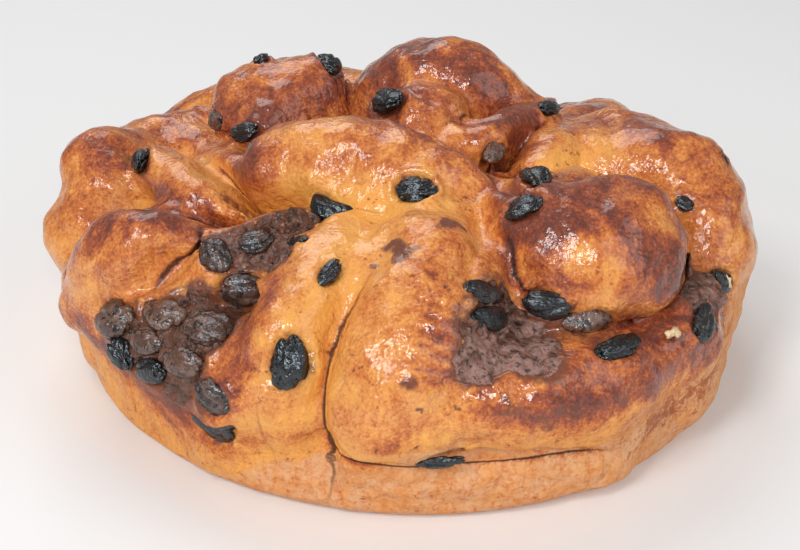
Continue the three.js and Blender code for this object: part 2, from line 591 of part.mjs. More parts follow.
[...RAISINS, ...backRaisins()].forEach(([bearing, climb, length, width, turn, bend], i) => {
  const name = `raisin_${String(i + 1).padStart(2, '0')}`;
  const pose = raisinPose(bearing, climb, width, turn);
  const shape = raisinGeometry(length, width, bend, i, 0);
  addMesh(raisins, name, shape, finish(COLOURS.raisin, ROUGHNESS.raisin)).applyMatrix4(pose);
  const seat = solidOf(raisinGeometry(length, width, bend, i, GAP), pose);
  loafSolid = loafSolid.subtract(seat);
  fillingSolids.forEach((filling, k) => {
    fillingSolids[k] = filling.subtract(seat);
  });
});

Object.keys(FILLINGS).forEach((name, k) => {
  addMesh(fillings, name, geometryOf(fillingSolids[k]), finish(COLOURS.filling, ROUGHNESS.filling));
});
addMesh(babka, 'loaf', geometryOf(loafSolid), finish(COLOURS.crust, ROUGHNESS.crust));

export default babka;
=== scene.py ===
"""Round plaited raisin bread: its crust, burst filling, raisins and crumbs, laid out as an add-on."""

import functools
import math
from collections import namedtuple

import bpy
import numpy as np
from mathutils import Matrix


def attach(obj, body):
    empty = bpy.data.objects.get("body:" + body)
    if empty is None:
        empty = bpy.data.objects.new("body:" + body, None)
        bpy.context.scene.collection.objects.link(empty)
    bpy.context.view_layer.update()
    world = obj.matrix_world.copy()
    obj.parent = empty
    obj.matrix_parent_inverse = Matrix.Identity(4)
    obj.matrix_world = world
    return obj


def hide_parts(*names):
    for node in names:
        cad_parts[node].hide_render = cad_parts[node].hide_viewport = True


bl_info = {
    "name": "Plaited Raisin Bread",
    "version": (1, 0, 0),
    "blender": (4, 5, 0),
    "location": "View3D > Sidebar > Bread",
    "description": "Builds the crust, filling, raisins and crumbs of a round plaited loaf on its frame",
    "category": "Add Mesh",
}

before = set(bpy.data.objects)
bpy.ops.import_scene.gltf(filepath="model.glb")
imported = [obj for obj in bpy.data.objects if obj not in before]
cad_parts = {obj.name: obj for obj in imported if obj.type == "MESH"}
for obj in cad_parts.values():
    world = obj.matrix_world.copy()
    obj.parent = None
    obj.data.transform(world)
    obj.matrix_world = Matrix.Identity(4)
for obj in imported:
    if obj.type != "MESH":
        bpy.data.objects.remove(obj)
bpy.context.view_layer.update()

# The shapes below are worked out in millimetres and put into the meshes in metres.
MM = 0.001
IMAGE_WIDTH = 800

# Places on the loaf are a bearing round it (0 is the front, 90 the right) and a climb above the disc, in
# degrees. Each roll of dough has its bake (0 pale, 1 burnt), then stations of bearing, climb, radius and how
# proud it stands.
ROLLS = {
    "crown": (0.36, [
        (-62, 56, 11, 10), (-52, 64, 18, 16), (-22, 69, 21, 17), (14, 66, 19, 14), (36, 56, 10, 7),
    ]),
    "rear_ridge": (0.47, [(-152, 72, 11, 5), (166, 77, 17, 22), (130, 75, 17, 20), (108, 66, 12, 12)]),
    "rear_slope": (0.38, [(-90, 84, 12, 9), (30, 85, 17, 16), (46, 78, 15, 15), (52, 71, 10, 9)]),
    "rear_fold": (0.44, [(96, 67, 8, 12), (80, 71, 9, 13.5), (48, 73, 9, 12.5), (33, 74, 8, 9)]),
    "arch": (0.36, [(100, 54, 13, 6), (85, 60, 14, 11), (60, 62, 12, 8)]),
    "right_lobe": (0.42, [
        (95, 49, 15, 8.5), (88, 44, 21, 13.5), (80, 31, 22, 15.8), (77, 20, 21, 10.5), (69, 9, 15, 3),
    ]),
    "knob": (0.52, [(36, 37, 27, 16), (44, 34, 28, 17)]),
    "collar": (0.42, [(25, 52, 10, 9), (19, 42, 10, 9), (14, 35, 9, 6)]),
    "front": (0.26, [(8, 47, 20, 10), (5, 36, 24, 11), (1, 22, 24, 9), (-1, 8, 22, 6), (0, -4, 16, 3)]),
    "rim_right": (0.46, [
        (-6, 2, 14, 4), (5, 2, 14, 4), (17, 2, 14, 4), (30, 3, 14, 4), (43, 6, 14, 3), (56, 8, 13, 1),
    ]),
    "strand": (0.2, [
        (-10, 52, 12, 7), (-16, 40, 14, 8), (-18, 26, 15, 8), (-18, 10, 15, 5), (-18, -8, 14, 2),
    ]),
    "ribbon": (0.32, [(-28, 52, 11, 6), (-36, 43, 12, 6), (-41, 32, 12, 5), (-45, 21, 10, 3)]),
    "left_bun": (0.36, [(-50, 38, 11, 8), (-54, 31, 16, 15.5), (-60, 22, 17, 14), (-64, 12, 14, 7)]),
    "left_ear": (0.31, [(-98, 29, 11, 9), (-89, 27.5, 12.5, 16.3), (-84, 24, 14, 14), (-80, 15, 15, 10.5)]),
    "left_fold": (0.42, [(-76, 42, 11, 13), (-61, 45, 12, 14), (-49, 47, 9, 10)]),
    "shoulder": (0.36, [(-94, 44, 13, -1), (-80, 51, 16, 6), (-64, 55, 13, 7)]),
    "left_knob": (0.44, [(-101, 62, 18, 13), (-116, 57, 17, 18), (-118, 65, 19, 20.5)]),
    "rim_left": (0.42, [(-16, 0, 13, 2), (-32, 1, 14, 3), (-48, 3, 14, 3.5), (-66, 5, 14, 6.5)]),
    "back_right": (0.50, [(100, 45, 15, 3), (112, 36, 20, 6), (126, 22, 21, 9), (138, 8, 16, 5)]),
    "back_middle": (0.55, [(146, 47, 15, 7), (158, 38, 20, 11), (172, 24, 21, 11), (184, 8, 16, 5)]),
    "back_left": (0.44, [(194, 46, 15, 7), (206, 36, 20, 11), (220, 22, 21, 10), (232, 8, 16, 5)]),
    "back_corner": (0.50, [(238, 44, 14, 3), (249, 32, 17, 5), (259, 18, 17, 7)]),
    "back_cap": (0.50, [(-158, 62, 14, 4), (-138, 56, 15, 5), (-118, 48, 13, 2)]),
    "back_rim": (0.40, [(80, 6, 14, 1), (125, 4, 15, 2), (180, 2, 15, 3), (235, 5, 15, 3), (290, 6, 14, 2)]),
}
CORE_BAKE = 0.34

# Lines drawn on the skin: stations of bearing, climb, half width in millimetres, and depth or strength.
# A seam has the fold that lies on top to the left of its run, and the tucked fold to its right.
SEAMS = {
    "plait": [
        (-2, 50, 1.6, 2), (-8, 36, 1.5, 3.5), (-11, 26, 1.4, 4.5), (-12, 10, 1.3, 5), (-12, -8, 1.3, 5),
        (-11, -24, 1.2, 3),
    ],
    "crack": [(-12, -9, 1.2, 2.5), (0, -10, 1.5, 5), (14, -11, 1.5, 5), (24, -12, 1.3, 4), (31, -16, 1, 2)],
    "strand_fold": [(-20, 12, 1.5, 1), (-21, -4, 1.5, 1), (-20, -20, 1.5, 0.8)],
    "crown_front": [
        (-60, 53, 2.2, 4), (-50, 52, 2.4, 6), (-40, 55, 2.4, 6), (-26, 57, 2.2, 5), (-12, 57, 2.2, 3.5),
        (4, 55, 2.2, 2), (22, 53, 2.2, 1.5),
    ],
    "crown_back": [
        (28, 54, 2.2, 2.5), (31, 63, 2.2, 3.5), (22, 70, 2.2, 4), (0, 77, 2.2, 4), (-64, 81, 2.2, 4.5),
        (-85, 73, 2.4, 5), (-72, 64, 2.4, 5), (-62, 57, 2.2, 3),
    ],
    "shoulder_gap": [(-74, 52, 2, 4), (-60, 53, 2, 4), (-50, 49, 2, 3)],
    "ear_edge": [
        (-74, 40, 1.8, 2), (-71, 36, 1.8, 4.5), (-68, 30, 1.8, 7), (-66, 24, 1.8, 7), (-66, 14, 1.8, 6),
        (-66, 5, 1.8, 4),
    ],
    "fold_to_bun": [
        (-47, 43.5, 1.6, 3.5), (-50, 42.5, 1.6, 5.5), (-55, 40, 1.6, 6), (-61, 35, 1.6, 6),
        (-64, 30, 1.6, 4),
    ],
    "bun_to_ribbon": [(-48.5, 20, 1.4, 3.5), (-47.5, 27, 1.4, 5), (-46, 35, 1.4, 5), (-48, 42, 1.4, 3)],
    "left_knob_front": [(-110, 46, 2.2, 4), (-86, 61, 2.4, 6), (-87, 70, 2.2, 6), (-98, 77, 2.2, 4)],
    "pit": [(-136, 74, 4, 4), (-118, 78, 4, 4), (-68, 82, 4, 3)],
    "rear_fold_low": [
        (30, 71, 1.8, 3), (40, 69.5, 1.8, 5), (56, 69, 1.8, 6), (72, 67.5, 1.8, 6), (86, 65, 1.8, 4),
    ],
    "rear_fold_top": [(27, 78, 1.8, 3), (55, 78.5, 1.8, 4), (84, 77, 1.8, 4.5), (97, 71, 1.8, 3.5)],
    "knob_back": [
        (60, 26, 1.8, 4.5), (64, 34, 1.8, 5), (66, 41, 1.8, 5), (54, 49, 1.8, 5), (40, 52, 1.8, 5),
        (30, 51, 1.8, 4.5), (24, 47, 1.8, 3),
    ],
    "knob_front": [
        (22, 45, 1.8, 4), (21, 38, 1.8, 5), (23, 33, 2, 6), (28, 27, 2.2, 6.5), (34, 21, 2.2, 6.5),
        (41, 17, 2.2, 6.5), (48, 18, 2.2, 6), (56, 22, 1.8, 5),
    ],
    "collar": [(20, 52, 1.5, 2), (16, 45, 1.5, 3), (12, 39, 1.5, 3), (10, 35, 1.5, 2)],
    "lobe_to_arch": [(96, 55, 2.2, 2.5), (77, 52, 2.2, 3), (68, 47, 2.2, 2.5)],
    "rear_crease": [
        (-110, 84, 1.6, 1), (20, 86, 1.6, 2), (46, 80, 1.6, 2.2), (60, 74.5, 1.6, 2), (70, 71, 1.6, 1),
    ],
    "stretch_left": [(1, 50, 1.2, 0.7), (-4, 40, 1.2, 0.9), (-8, 28, 1.2, 0.6)],
    "stretch_right": [(5, 51, 1.2, 0.5), (0, 43, 1.2, 0.7), (-4, 33, 1.2, 0.5)],
    "back_first": [(122, 52, 2.2, 3), (134, 38, 2.2, 5), (149, 22, 2.2, 5), (160, 6, 2.2, 3)],
    "back_second": [(170, 54, 2.2, 3), (182, 38, 2.2, 5), (196, 22, 2.2, 5), (208, 6, 2.2, 3)],
    "back_third": [(220, 52, 2.2, 3), (230, 38, 2.2, 5), (239, 22, 2.2, 4.5), (246, 8, 2.2, 3)],
}
# Dark lines of painted shadow, put in place of a seam's own line or beside it; they leave the form as it is.
SHADE_LINES = {
    "crack": [
        (-11, -11.6, 1, 5), (-5, -12.4, 1, 5), (2, -13, 1, 5), (9, -13.2, 1, 5), (16, -13.6, 1, 5),
        (24, -14, 1, 5), (31, -16.6, 1, 3),
    ],
    "plait_foot": [
        (-12, -8, 1.3, 5), (-11.4, -13, 1.2, 4.6), (-11.9, -17, 1.2, 4.2), (-11.2, -21, 1.2, 4),
        (-11.6, -27, 1.2, 3.4),
    ],
    "strand_fold": [(-20, 12, 1.5, 2.8), (-21, -4, 1.5, 3.4), (-20, -20, 1.5, 3.2)],
}
SEAM_TOP = 0.8  # widths of a seam's slopes, as shares of its half width
SEAM_TUCK = 2.4
SEAM_ROUND = 0.2  # how round a seam's bottom is
SEAM_BRIDGE = 0.4  # raisins and filling lie across a seam at this share of its depth
SEAM_FAR = 8.0  # a seam paints nothing beyond this distance
SEAM_SPREAD = 2.5  # distance over which a seam's painted depth fades
# Strokes that bake the crust less or more; some brown ones paint shade in gaps and under the knob.
PALE_STROKES = {
    "under_crown": [
        (-47, 47, 5, 0.2), (-43, 52, 6, 0.28), (-26, 56, 7, 0.25), (-10, 57, 7, 0.25), (23, 56, 4, 0.25),
    ],
    "right_valley": [
        (38, 60, 5, 0.3), (58, 58, 8, 0.48), (66, 54, 8, 0.45), (60, 50, 6, 0.42), (67, 45, 6, 0.25),
    ],
    "strand": [
        (-12, 47, 6, 0.18), (-13, 32, 5, 0.16), (-16, 25, 7, 0.14), (-14, 13, 6, 0.14), (-14, 0, 5, 0.1),
    ],
    "strand_left": [(-22, 26, 4, 0.1), (-22, 11, 4, 0.12), (-22, -9, 5, 0.1)],
    "knob_orange": [(26, 38, 5, 0.2), (31, 36, 6, 0.28), (34, 31, 5, 0.25)],
    "knob_tan": [(45, 43, 5, 0.3), (49, 37, 5, 0.3)],
    "shoulder": [(-72, 48, 6, 0.3), (-59, 51, 7, 0.3), (-52, 51, 6, 0.3)],
}
BROWN_STROKES = {
    "crown_edge": [
        (-57, 55, 4, 0.3), (-71, 63, 6, 0.3), (-84, 71, 7, 0.3), (7, 73, 4, 0.2), (26, 67, 4, 0.3),
        (28, 56, 4, 0.3),
    ],
    "knob_top": [(27, 46, 6, 0.15), (36, 48, 7, 0.2), (44, 49, 7, 0.2), (53, 45, 7, 0.25)],
    "knob_right": [(58, 36, 6, 0.3), (51, 31, 6, 0.4), (45, 25, 6, 0.4), (39, 23, 5, 0.3)],
    "wall_right": [(24, -14, 6, 0.25), (36, -14, 8, 0.45), (50, -10, 8, 0.5), (62, -6, 7, 0.4)],
    "knob_streak": [
        (28, 45, 3.5, 0.2), (33, 44, 4, 0.25), (38, 41, 4, 0.3), (40, 36, 4, 0.35), (40, 30, 4.5, 0.3),
    ],
    "bun_top": [(-55, 26, 8, 0.1), (-53, 34, 8, 0.1), (-49, 39, 6, 0.12), (-46, 42, 5, 0.12)],
    "left_fold": [(-70, 38, 4, 0.3), (-62, 40, 5, 0.4), (-55, 43, 5, 0.45), (-50, 45, 5, 0.4)],
    "ear_top": [(-92, 33, 5, 0.1), (-86, 33, 5, 0.15), (-80, 35, 4, 0.15), (-74, 40, 4, 0.2)],
    "bun_edge": [(-63, 20, 5, 0.15), (-61, 29, 5, 0.12), (-57, 34, 5, 0.1), (-50, 38, 4, 0.15)],
    "crown_tip": [(-66, 54, 4, 0.3), (-58, 57, 5, 0.3), (-50, 56, 4, 0.25)],
    "rear_crease": [
        (-148, 77, 2.5, 0.15), (-6, 89, 2.5, 0.2), (46, 80, 2.5, 0.3), (60, 74, 2.5, 0.3),
        (80, 67, 2.5, 0.25),
    ],
    "rear_streak": [(-175, 78, 3, 0.1), (139, 84, 3, 0.15), (103, 78, 3, 0.2), (93, 67, 2.5, 0.2)],
    # Painted shade, with some darker crust: the gap strokes brown the crust in the gaps between rolls.
    "crown_gap": [(-110, 47, 4, 0.15), (-94, 57, 4, 0.3), (-87, 63, 4, 0.35)],
    "rear_gap": [(-130, 74, 4, 0.35), (-101, 84, 4, 0.35), (-8, 82, 4, 0.25)],
    "right_gap": [(91, 65, 3.5, 0.1), (54, 70, 4, 0.2), (50, 63.5, 4, 0.2)],
    "knob_gap": [(26, 52, 3, 0.2), (22.5, 45, 3, 0.2)],
    "front_scuff": [(0, 5, 3.5, 0.25), (-3, -1, 3, 0.25)],
    "strand_scuff": [(-24, -12, 4, 0.4), (-20, -8, 4, 0.3), (-15, -8, 3.5, 0.35)],
    "left_knob": [(-115, 48, 7, 0.1), (-100, 65, 8, 0.05), (-98, 73, 5, 0.12), (-100, 77, 5, 0.15)],
    "rear_left": [(-76, 85, 6, 0.25), (-148, 83, 6, 0.25), (174, 83, 6, 0.15)],
    "rear_right": [(107, 79, 5, 0.2), (92, 72, 5, 0.25), (64, 68, 4, 0.3)],
    "rim_burn": [
        (11, 8, 4, 0.25), (14, 7, 4.5, 0.35), (20, 5, 6, 0.45), (28, 5, 7, 0.5), (38, 4, 8, 0.5),
        (49, 3, 8, 0.45), (60, 2, 7, 0.4),
    ],
    # Painted shade along under the knob's lower edge.
    "knob_foot": [
        (20, 27, 3, 0.3), (28, 23, 3.5, 0.4), (36, 18, 3.5, 0.4), (44, 15, 3.5, 0.4), (52, 17, 4, 0.35),
    ],
    "knob_left": [(25, 45, 4, 0.15), (23.5, 38, 4, 0.2), (26, 32, 4, 0.2)],
    "lobe_top": [(84, 52, 6, 0.15), (80, 46, 7, 0.25), (76, 40, 6, 0.15)],
    "left_wall": [
        (-30, -17, 6, 0.3), (-38, -15, 7, 0.45), (-45, -11, 8, 0.55), (-57, 0, 9, 0.5), (-70, 2, 9, 0.4),
    ],
    "left_cluster": [
        (-32, 28, 4, 0.35), (-26, 19, 5, 0.5), (-25, 6, 5, 0.5), (-32, -4, 6, 0.5), (-42, -8, 6, 0.4),
        (-54, -6, 6, 0.3),
    ],
    "front_right": [(7, 33, 4.5, 0.18), (6, 26, 5, 0.3), (7, 18, 5, 0.28)],
    "crown_right": [(6, 66, 6, 0.15), (15, 63, 6, 0.18), (24, 64, 5, 0.15)],
    "ribbon": [(-43, 31, 5, 0.05), (-44, 23, 5, 0.12)],
    "strand_red": [(-28, 38, 3.5, 0.2), (-25, 34.5, 3.5, 0.35), (-23, 29, 3.5, 0.38), (-23, 24, 3.5, 0.3)],
}
# Raisins that lie flush under the crust, and smears of paste: bearing, climb, half size, strength.
FLUSH_SPOTS = [
    (-2, 44, 3.4, 1.0), (9, 49, 2.6, 1.0), (0, 16, 2.0, 0.9), (1, 21, 1.6, 0.6), (40, 5, 3.0, 0.7),
    (49, -2, 2.2, 0.7), (36, 1, 2.2, 0.6), (13, 7, 3.0, 0.8), (18, 4, 3.0, 0.7), (55, 46, 2.6, 0.7),
    (-54, 50, 2.6, 0.7), (30, 2, 2.2, 0.6), (-68, 61, 2.4, 0.5), (120, 30, 3.0, 0.7), (164, 40, 2.4, 0.6),
    (205, 20, 2.8, 0.7), (236, 34, 2.2, 0.6), (-104, 20, 2.6, 0.6), (22.5, 22, 4.0, 0.7),
    (26.4, 21, 4.5, 0.75), (28.5, 18.5, 4.0, 0.7), (32.5, 17.5, 3.5, 0.65), (46, 15.5, 3.0, 0.5),
]
# Height of the top of the pale band that baked against the tin, by bearing.
TIN_BAND = [
    (-180, 26), (-135, 22), (-100, 10), (-80, 3), (-60, 1), (-40, 1), (-30, 4), (-20, 12), (-10, 20),
    (2, 24), (16, 23), (28, 21), (39, 23), (48, 26), (58, 32), (90, 34), (135, 28), (180, 26),
]
# Burst filling: bearing, climb, half width, half height, turn, crest, and how mauve its paste is.
FILLINGS = {
    "filling_left": (-39, 10, 19, 13, 12, 0.5, 0.1),
    "filling_middle": (-33, 43, 12, 6, 20, 0.8, 0.35),
    "filling_right": (15, 23.5, 14, 9, -10, 1.4, 1.0),
    "filling_edge": (54, 16, 9, 8, 20, 1.0, 0.8),
    "filling_back": (179, 13, 13, 7, 8, 1.2, 0.6),
}
# Raisins that show brown under a sugar glaze, and how much.
GLAZED_RAISINS = {
    "raisin_17": 0.4, "raisin_18": 0.3, "raisin_19": 0.5, "raisin_21": 0.7, "raisin_22": 1.0,
    "raisin_23": 0.6, "raisin_25": 0.8, "raisin_27": 0.9, "raisin_28": 0.4, "raisin_32": 1.0,
    "raisin_37": 0.9, "raisin_38": 0.9,
}
# Pale crumbs stuck to the crust: bearing, climb, length and width.
PALE_CRUMBS = [(41.5, 13.6, 4.2, 3.0), (42.4, 12.8, 3.0, 2.4), (63, 11, 4.0, 2.8), (61.5, 13, 2.4, 2.0)]

# The crust's grid of bearings and climbs, and the search for the skin along its rays.
COLUMNS = 560
ROWS = 171
RIM_CLIMB = -34.0
BASE_CLIMBS = (-84.0, -68.0, -54.0, -44.0, -38.0)
CLIMB_TRIALS = 900
SPINE_STEPS = 10
SEARCH_START = 30.0
SEARCH_STEPS = 60
SEARCH_SHARE = 0.85
SEARCH_CLOSE = 0.02
ROLL_NEAR = 10.0
EXPONENT_LIMIT = 60.0
TINY = 1e-6
MAP_ARM = 75.0  # millimetres of skin to a radian on the map of rays
LINE_SPREAD = 0.15
CORE_SLOPE = 0.08
CORE_SINK_RISE = 0.35

# Relief of the crust. Each row of waves is a length, height and seed.
LUMP_WAVES = ((34.0, 1.0, 1), (15.0, 0.5, 2), (6.0, 0.14, 3))
TIN_WAVES = ((4.5, 0.12, 4),)
TIN_STRETCH = (0.6, 0.6, 1.0)
TIN_EDGE_WAVES = ((22.0, 1.6, 6), (8.0, 0.8, 7))
TIN_EDGE_SOFT = 2.5
SPOT_WAVES = ((5.0, 0.3, 8),)
LIP_WAVES = ((9.0, 0.35, 9),)
LIP_HEIGHT = 0.6
RAISIN_HOLLOW = 1.7
FILLING_HOLLOW = 2.6
STAIN_STRENGTH = 0.8
FOOT_FADE = (0.5, 6.0)
# Places round a raisin, as shares of its half size, and round a patch of filling, as shares of its edge.
LIP_PLACE = 1.18
LIP_WIDTH = 0.2
RAISIN_STAIN = 1.1
RAISIN_BRIDGE = 1.5
RAISIN_NEAR = 2.2
HOLLOW_EDGE = (0.95, 0.65)
STAIN_EDGE = (1.2, 0.95)
BRIDGE_EDGE = (1.5, 1.0)

# Torn dough beside the right-hand filling: its band in degrees, and its ridges.
FRINGE_BEARING = 4.5
FRINGE_HALF = 3.2
FRINGE_LOW = (12.0, 18.0)
FRINGE_HIGH = (43.0, 37.0)
FRINGE_PITCH = 3.2
FRINGE_LEAN = 0.7
FRINGE_WAVES = ((12.0, 0.3, 5),)
FRINGE_HEIGHT = 0.4
FRINGE_BAKE = 0.12
FRINGE_RIDGE_BAKE = 0.16

# How much browner the crust is where it stands proud or faces up.
ROLL_BAKE_SPREAD = 3.0
PROUD_BAKE = 0.03
PROUD_RANGE = (-6.0, 4.0)
PROUD_SPREAD = 60
UPWARD_BAKE = 0.22
UPWARD_LEVEL = 0.6
UPWARD_SPREAD = 8

FILLING_RINGS = 26
FILLING_SECTORS = 88
FILLING_DEPTH = 4.5
FILLING_RAGGED = 0.12
FILLING_SWELLS = ((11.0, 0.6, 30),)
FILLING_LUMPS = ((5.0, 0.5, 40), (2.4, 0.4, 50))
FILLING_SINK = 1.0
FILLING_DENT = 1.6  # depth of the dent round a raisin, and its size as a share of the raisin's
FILLING_DENT_SIZE = 1.15
MAUVE_FADE = (0.4, -0.1)

RAISIN_ROWS = 26
RAISIN_COLUMNS = 44
RAISIN_SEED = 11
RAISIN_SWELL = 1.02
# Valleys in a raisin's skin, folds and then creases: stretch, length, width, depth and seed.
RAISIN_VALLEYS = ((0.55, 1.7, 0.4, 0.26, 100), (0.7, 0.75, 0.35, 0.11, 150))
RAISIN_LUMPS = ((2.2, 0.07, 200),)
RAISIN_PLAIN_TINT = 0.08
GLAZED_FILL = 0.5  # how far a glaze fills the valleys
BEND_LEVEL = 0.4  # height on a raisin's bend that its middle line passes through
OUTWARD_LEVEL = 0.4  # share of a raisin's height at which its outward side is judged

CRUMB_ROWS = 5
CRUMB_COLUMNS = 8
CRUMB_COUNT = 20
CRUMB_SEED = 5
CRUMB_SPREAD = 0.75
CRUMB_WIDTHS = (0.6, 1.1)
CRUMB_LENGTHS = (1.0, 1.8)
CRUMB_TINTS = (0.7, 1.0)
BEARING_A_MM = 0.6  # rough degrees to a millimetre of skin
CLIMB_A_MM = 1.4
CRUMB_ROUND = 0.9
CRUMB_LUMPS = ((1.0, 0.3, 300),)
CRUMB_FLAT = 0.35
CRUMB_LIFT = 0.25
CRUMB_TURN = 2.4

# Square lights: place and side in metres.
LIGHTS = {
    "key": ((-0.50, -0.75, 1.00), 0.35),
    "front": ((0.06, -0.90, 0.62), 0.22),
    "fill": ((0.95, -0.55, 0.70), 0.80),
    "left": ((-0.52, -0.82, 0.56), 0.20),
    "top": ((-0.30, 0.70, 1.00), 0.80),
}
LIGHT_AIM = 0.04  # height on the loaf that the lights are aimed at
WHITE = (1.0, 1.0, 1.0, 1.0)

Crust = namedtuple("Crust", "bearing climb ray reach seam point normal bake top base")


def length_setting(name, description, default):
    """A size in metres for a user to change."""
    return bpy.props.FloatProperty(
        name=name, description=description, default=default, min=0.0, unit="LENGTH", precision=4
    )


def power_setting(name, description, default):
    """A light's power in watts for a user to change."""
    return bpy.props.FloatProperty(name=name, description=description, default=default, unit="POWER")


def colour_setting(name, description, default):
    """A colour for a user to change."""
    return bpy.props.FloatVectorProperty(
        name=name, description=description, default=default, min=0.0, max=1.0, size=3, subtype="COLOR"
    )


class BreadShape(bpy.types.PropertyGroup):
    """Sizes of the loaf's dough."""

    disc_height: length_setting("Disc Height", "Height of the disc that the loaf is measured from", 0.030)
    disc_radius: length_setting("Disc Radius", "Radius of the disc that the loaf is measured from", 0.050)
    wall_reach: length_setting("Wall Reach", "How far the core's wall stands out from the disc", 0.049)
    top_reach: length_setting("Top Reach", "How far the core's top stands above the disc", 0.034)
    foot_radius: length_setting("Foot Radius", "Radius of the core where it meets the floor", 0.0955)
    foot_rounding: length_setting("Foot Rounding", "Softness of the edge round the base", 0.003)
    foot_sink: length_setting("Foot Sink", "How much the rounded edge is pressed into the base", 0.0008)
    oval: length_setting("Oval", "How far the round plan is drawn into an oval", 0.003)
    right_draw: length_setting("Right Draw", "How far the plan's right side draws in", 0.0035)
    back_drop: length_setting("Back Drop", "How far the core's back slope lies below its front slope", 0.014)
    core_sink: length_setting("Core Sink", "How far the core lies below what the rolls lie on", 0.009)
    blend: length_setting("Blend", "How softly neighbouring rolls of dough melt together", 0.0010)
    lump: length_setting("Lumps", "Height of the broad unevenness of the risen dough", 0.0008)


class BreadColours(bpy.types.PropertyGroup):
    """Colours of the baked dough, filling and fruit."""

    pale: colour_setting("Pale Dough", "Stretched dough that the oven barely coloured", (0.83, 0.385, 0.082))
    gold: colour_setting("Gold", "Lightly baked crust", (0.73, 0.295, 0.072))
    amber: colour_setting("Amber", "Well baked crust", (0.56, 0.16, 0.034))
    brown: colour_setting("Brown", "Dark crust on the tops of the rolls", (0.32, 0.068, 0.026))
    burnt: colour_setting("Burnt", "Scorched edges and streaks", (0.135, 0.033, 0.020))
    tin: colour_setting("Tin Side", "Matte side that baked against the tin", (0.72, 0.39, 0.20))
    stain: colour_setting("Stain", "Crust stained by filling and fruit", (0.175, 0.052, 0.026))
    paste: colour_setting("Paste", "Dark sugary filling", (0.115, 0.046, 0.026))
    mauve: colour_setting("Mauve Paste", "Dry, dull filling", (0.31, 0.175, 0.145))
    # The raisin colour is also used for the painted shade lines along the crust's seams.
    raisin: colour_setting("Raisin", "Black raisin skin", (0.006, 0.006, 0.007))
    glazed: colour_setting("Glazed Raisin", "Brown raisin under a sugar glaze", (0.125, 0.054, 0.032))
    bloom: colour_setting("Bloom", "Dull bloom on glazed raisins", (0.20, 0.108, 0.075))
    crumb: colour_setting("Crumb", "Pale crumbs", (0.80, 0.64, 0.40))
    floor: colour_setting("Floor", "Studio floor", (0.86, 0.86, 0.86))


class BreadStage(bpy.types.PropertyGroup):
    """Camera, lights and floor."""

    distance: length_setting("Camera Distance", "Distance of the camera from the point it looks at", 0.450)
    elevation: bpy.props.FloatProperty(
        name="Camera Elevation",
        description="Angle of the camera above the horizon",
        default=math.radians(29.3),
        subtype="ANGLE",
    )
    target: bpy.props.FloatVectorProperty(
        name="Camera Target",
        description="Point that the camera looks at",
        default=(-0.0016, 0.0, 0.017),
        subtype="TRANSLATION",
        unit="LENGTH",
    )
    focal: bpy.props.FloatProperty(
        name="Focal Length",
        description="Focal length of the lens in pixels of the picture",
        default=1510.0,
        subtype="PIXEL",
    )
    key_power: power_setting("Key Power", "Power of the large light at the front left", 5.6)
    front_power: power_setting("Front Power", "Power of the small light beside the camera", 3.2)
    left_power: power_setting("Left Power", "Power of the small light at the left", 1.5)
    fill_power: power_setting("Fill Power", "Power of the soft light at the right", 3.0)
    top_power: power_setting("Top Power", "Power of the soft light above the back", 5.5)
    sky: bpy.props.FloatProperty(
        name="Sky",
        description="Strength of the even light from all round",
        default=0.26,
        subtype="FACTOR",
        min=0.0,
        max=2.0,
    )
    floor_size: length_setting("Floor Size", "Side of the square floor", 6.0)


Dough = namedtuple("Dough", list(BreadShape.__annotations__))


def dough_sizes(shape):
    """The shape settings in millimetres."""
    return Dough(*(getattr(shape, field) / MM for field in Dough._fields))


def ray_at(bearing, climb):
    """Unit ray at a bearing and climb: (sin b cos c, -cos b cos c, sin c)."""
    b, c = np.radians(bearing), np.radians(climb)
    return np.stack(np.broadcast_arrays(np.sin(b) * np.cos(c), -np.cos(b) * np.cos(c), np.sin(c)), -1)


def on_ray(ray, reach, dough):
    """Point a given reach out along a ray that starts at the edge of the level disc."""
    level = np.full(ray.shape[:-1], dough.disc_height)
    start = np.stack([ray[..., 0] * dough.disc_radius, ray[..., 1] * dough.disc_radius, level], -1)
    return start + np.asarray(reach)[..., None] * ray


def oval_at(ray, dough):
    """How far the plan moves the wall along a ray: a sine of twice the bearing, less a square at the right."""
    right = np.maximum(ray[..., 0], 0.0)
    return -2.0 * dough.oval * ray[..., 0] * ray[..., 1] - dough.right_draw * right * right


def core_reach(ray, dough):
    """Reach of the smooth core: a low dome, blended from top reach to wall reach, above an upright wall."""
    rise = ray[..., 2]
    up = np.clip(rise, 0.0, 1.0)
    side = 1.0 - up
    dome = dough.top_reach + (dough.wall_reach - dough.top_reach) * side * side * (3.0 - 2.0 * side)
    dome = dome - dough.back_drop * np.clip(ray[..., 1], 0.0, 1.0) * 4.0 * up * side + oval_at(ray, dough)
    level = np.sqrt(np.maximum(1.0 - rise * rise, TINY))
    wall = (dough.disc_radius + dough.wall_reach) / level - dough.disc_radius + oval_at(ray, dough)
    floor = dough.disc_height / np.maximum(-rise, TINY)
    return np.where(rise >= 0.0, dome, np.minimum(wall, floor))


def core_gap(ray, reach, point, dough):
    """Distance outside the core: along the ray above the disc, and from the leaning wall below it."""
    rise = ray[..., 2]
    slope = 1.0 - CORE_SLOPE * np.clip(5.0 * rise, 0.0, 1.0)
    edge = dough.disc_radius + dough.wall_reach
    lean = (edge - dough.foot_radius) * np.clip(1.0 - point[..., 2] / dough.disc_height, 0.0, 1.2) ** 2
    wall = np.hypot(point[..., 0], point[..., 1]) - edge + lean - oval_at(ray, dough)
    sink = dough.core_sink * fade(rise, 0.0, CORE_SINK_RISE)
    return np.where(rise >= 0.0, slope * (reach - core_reach(ray, dough) + sink), wall)


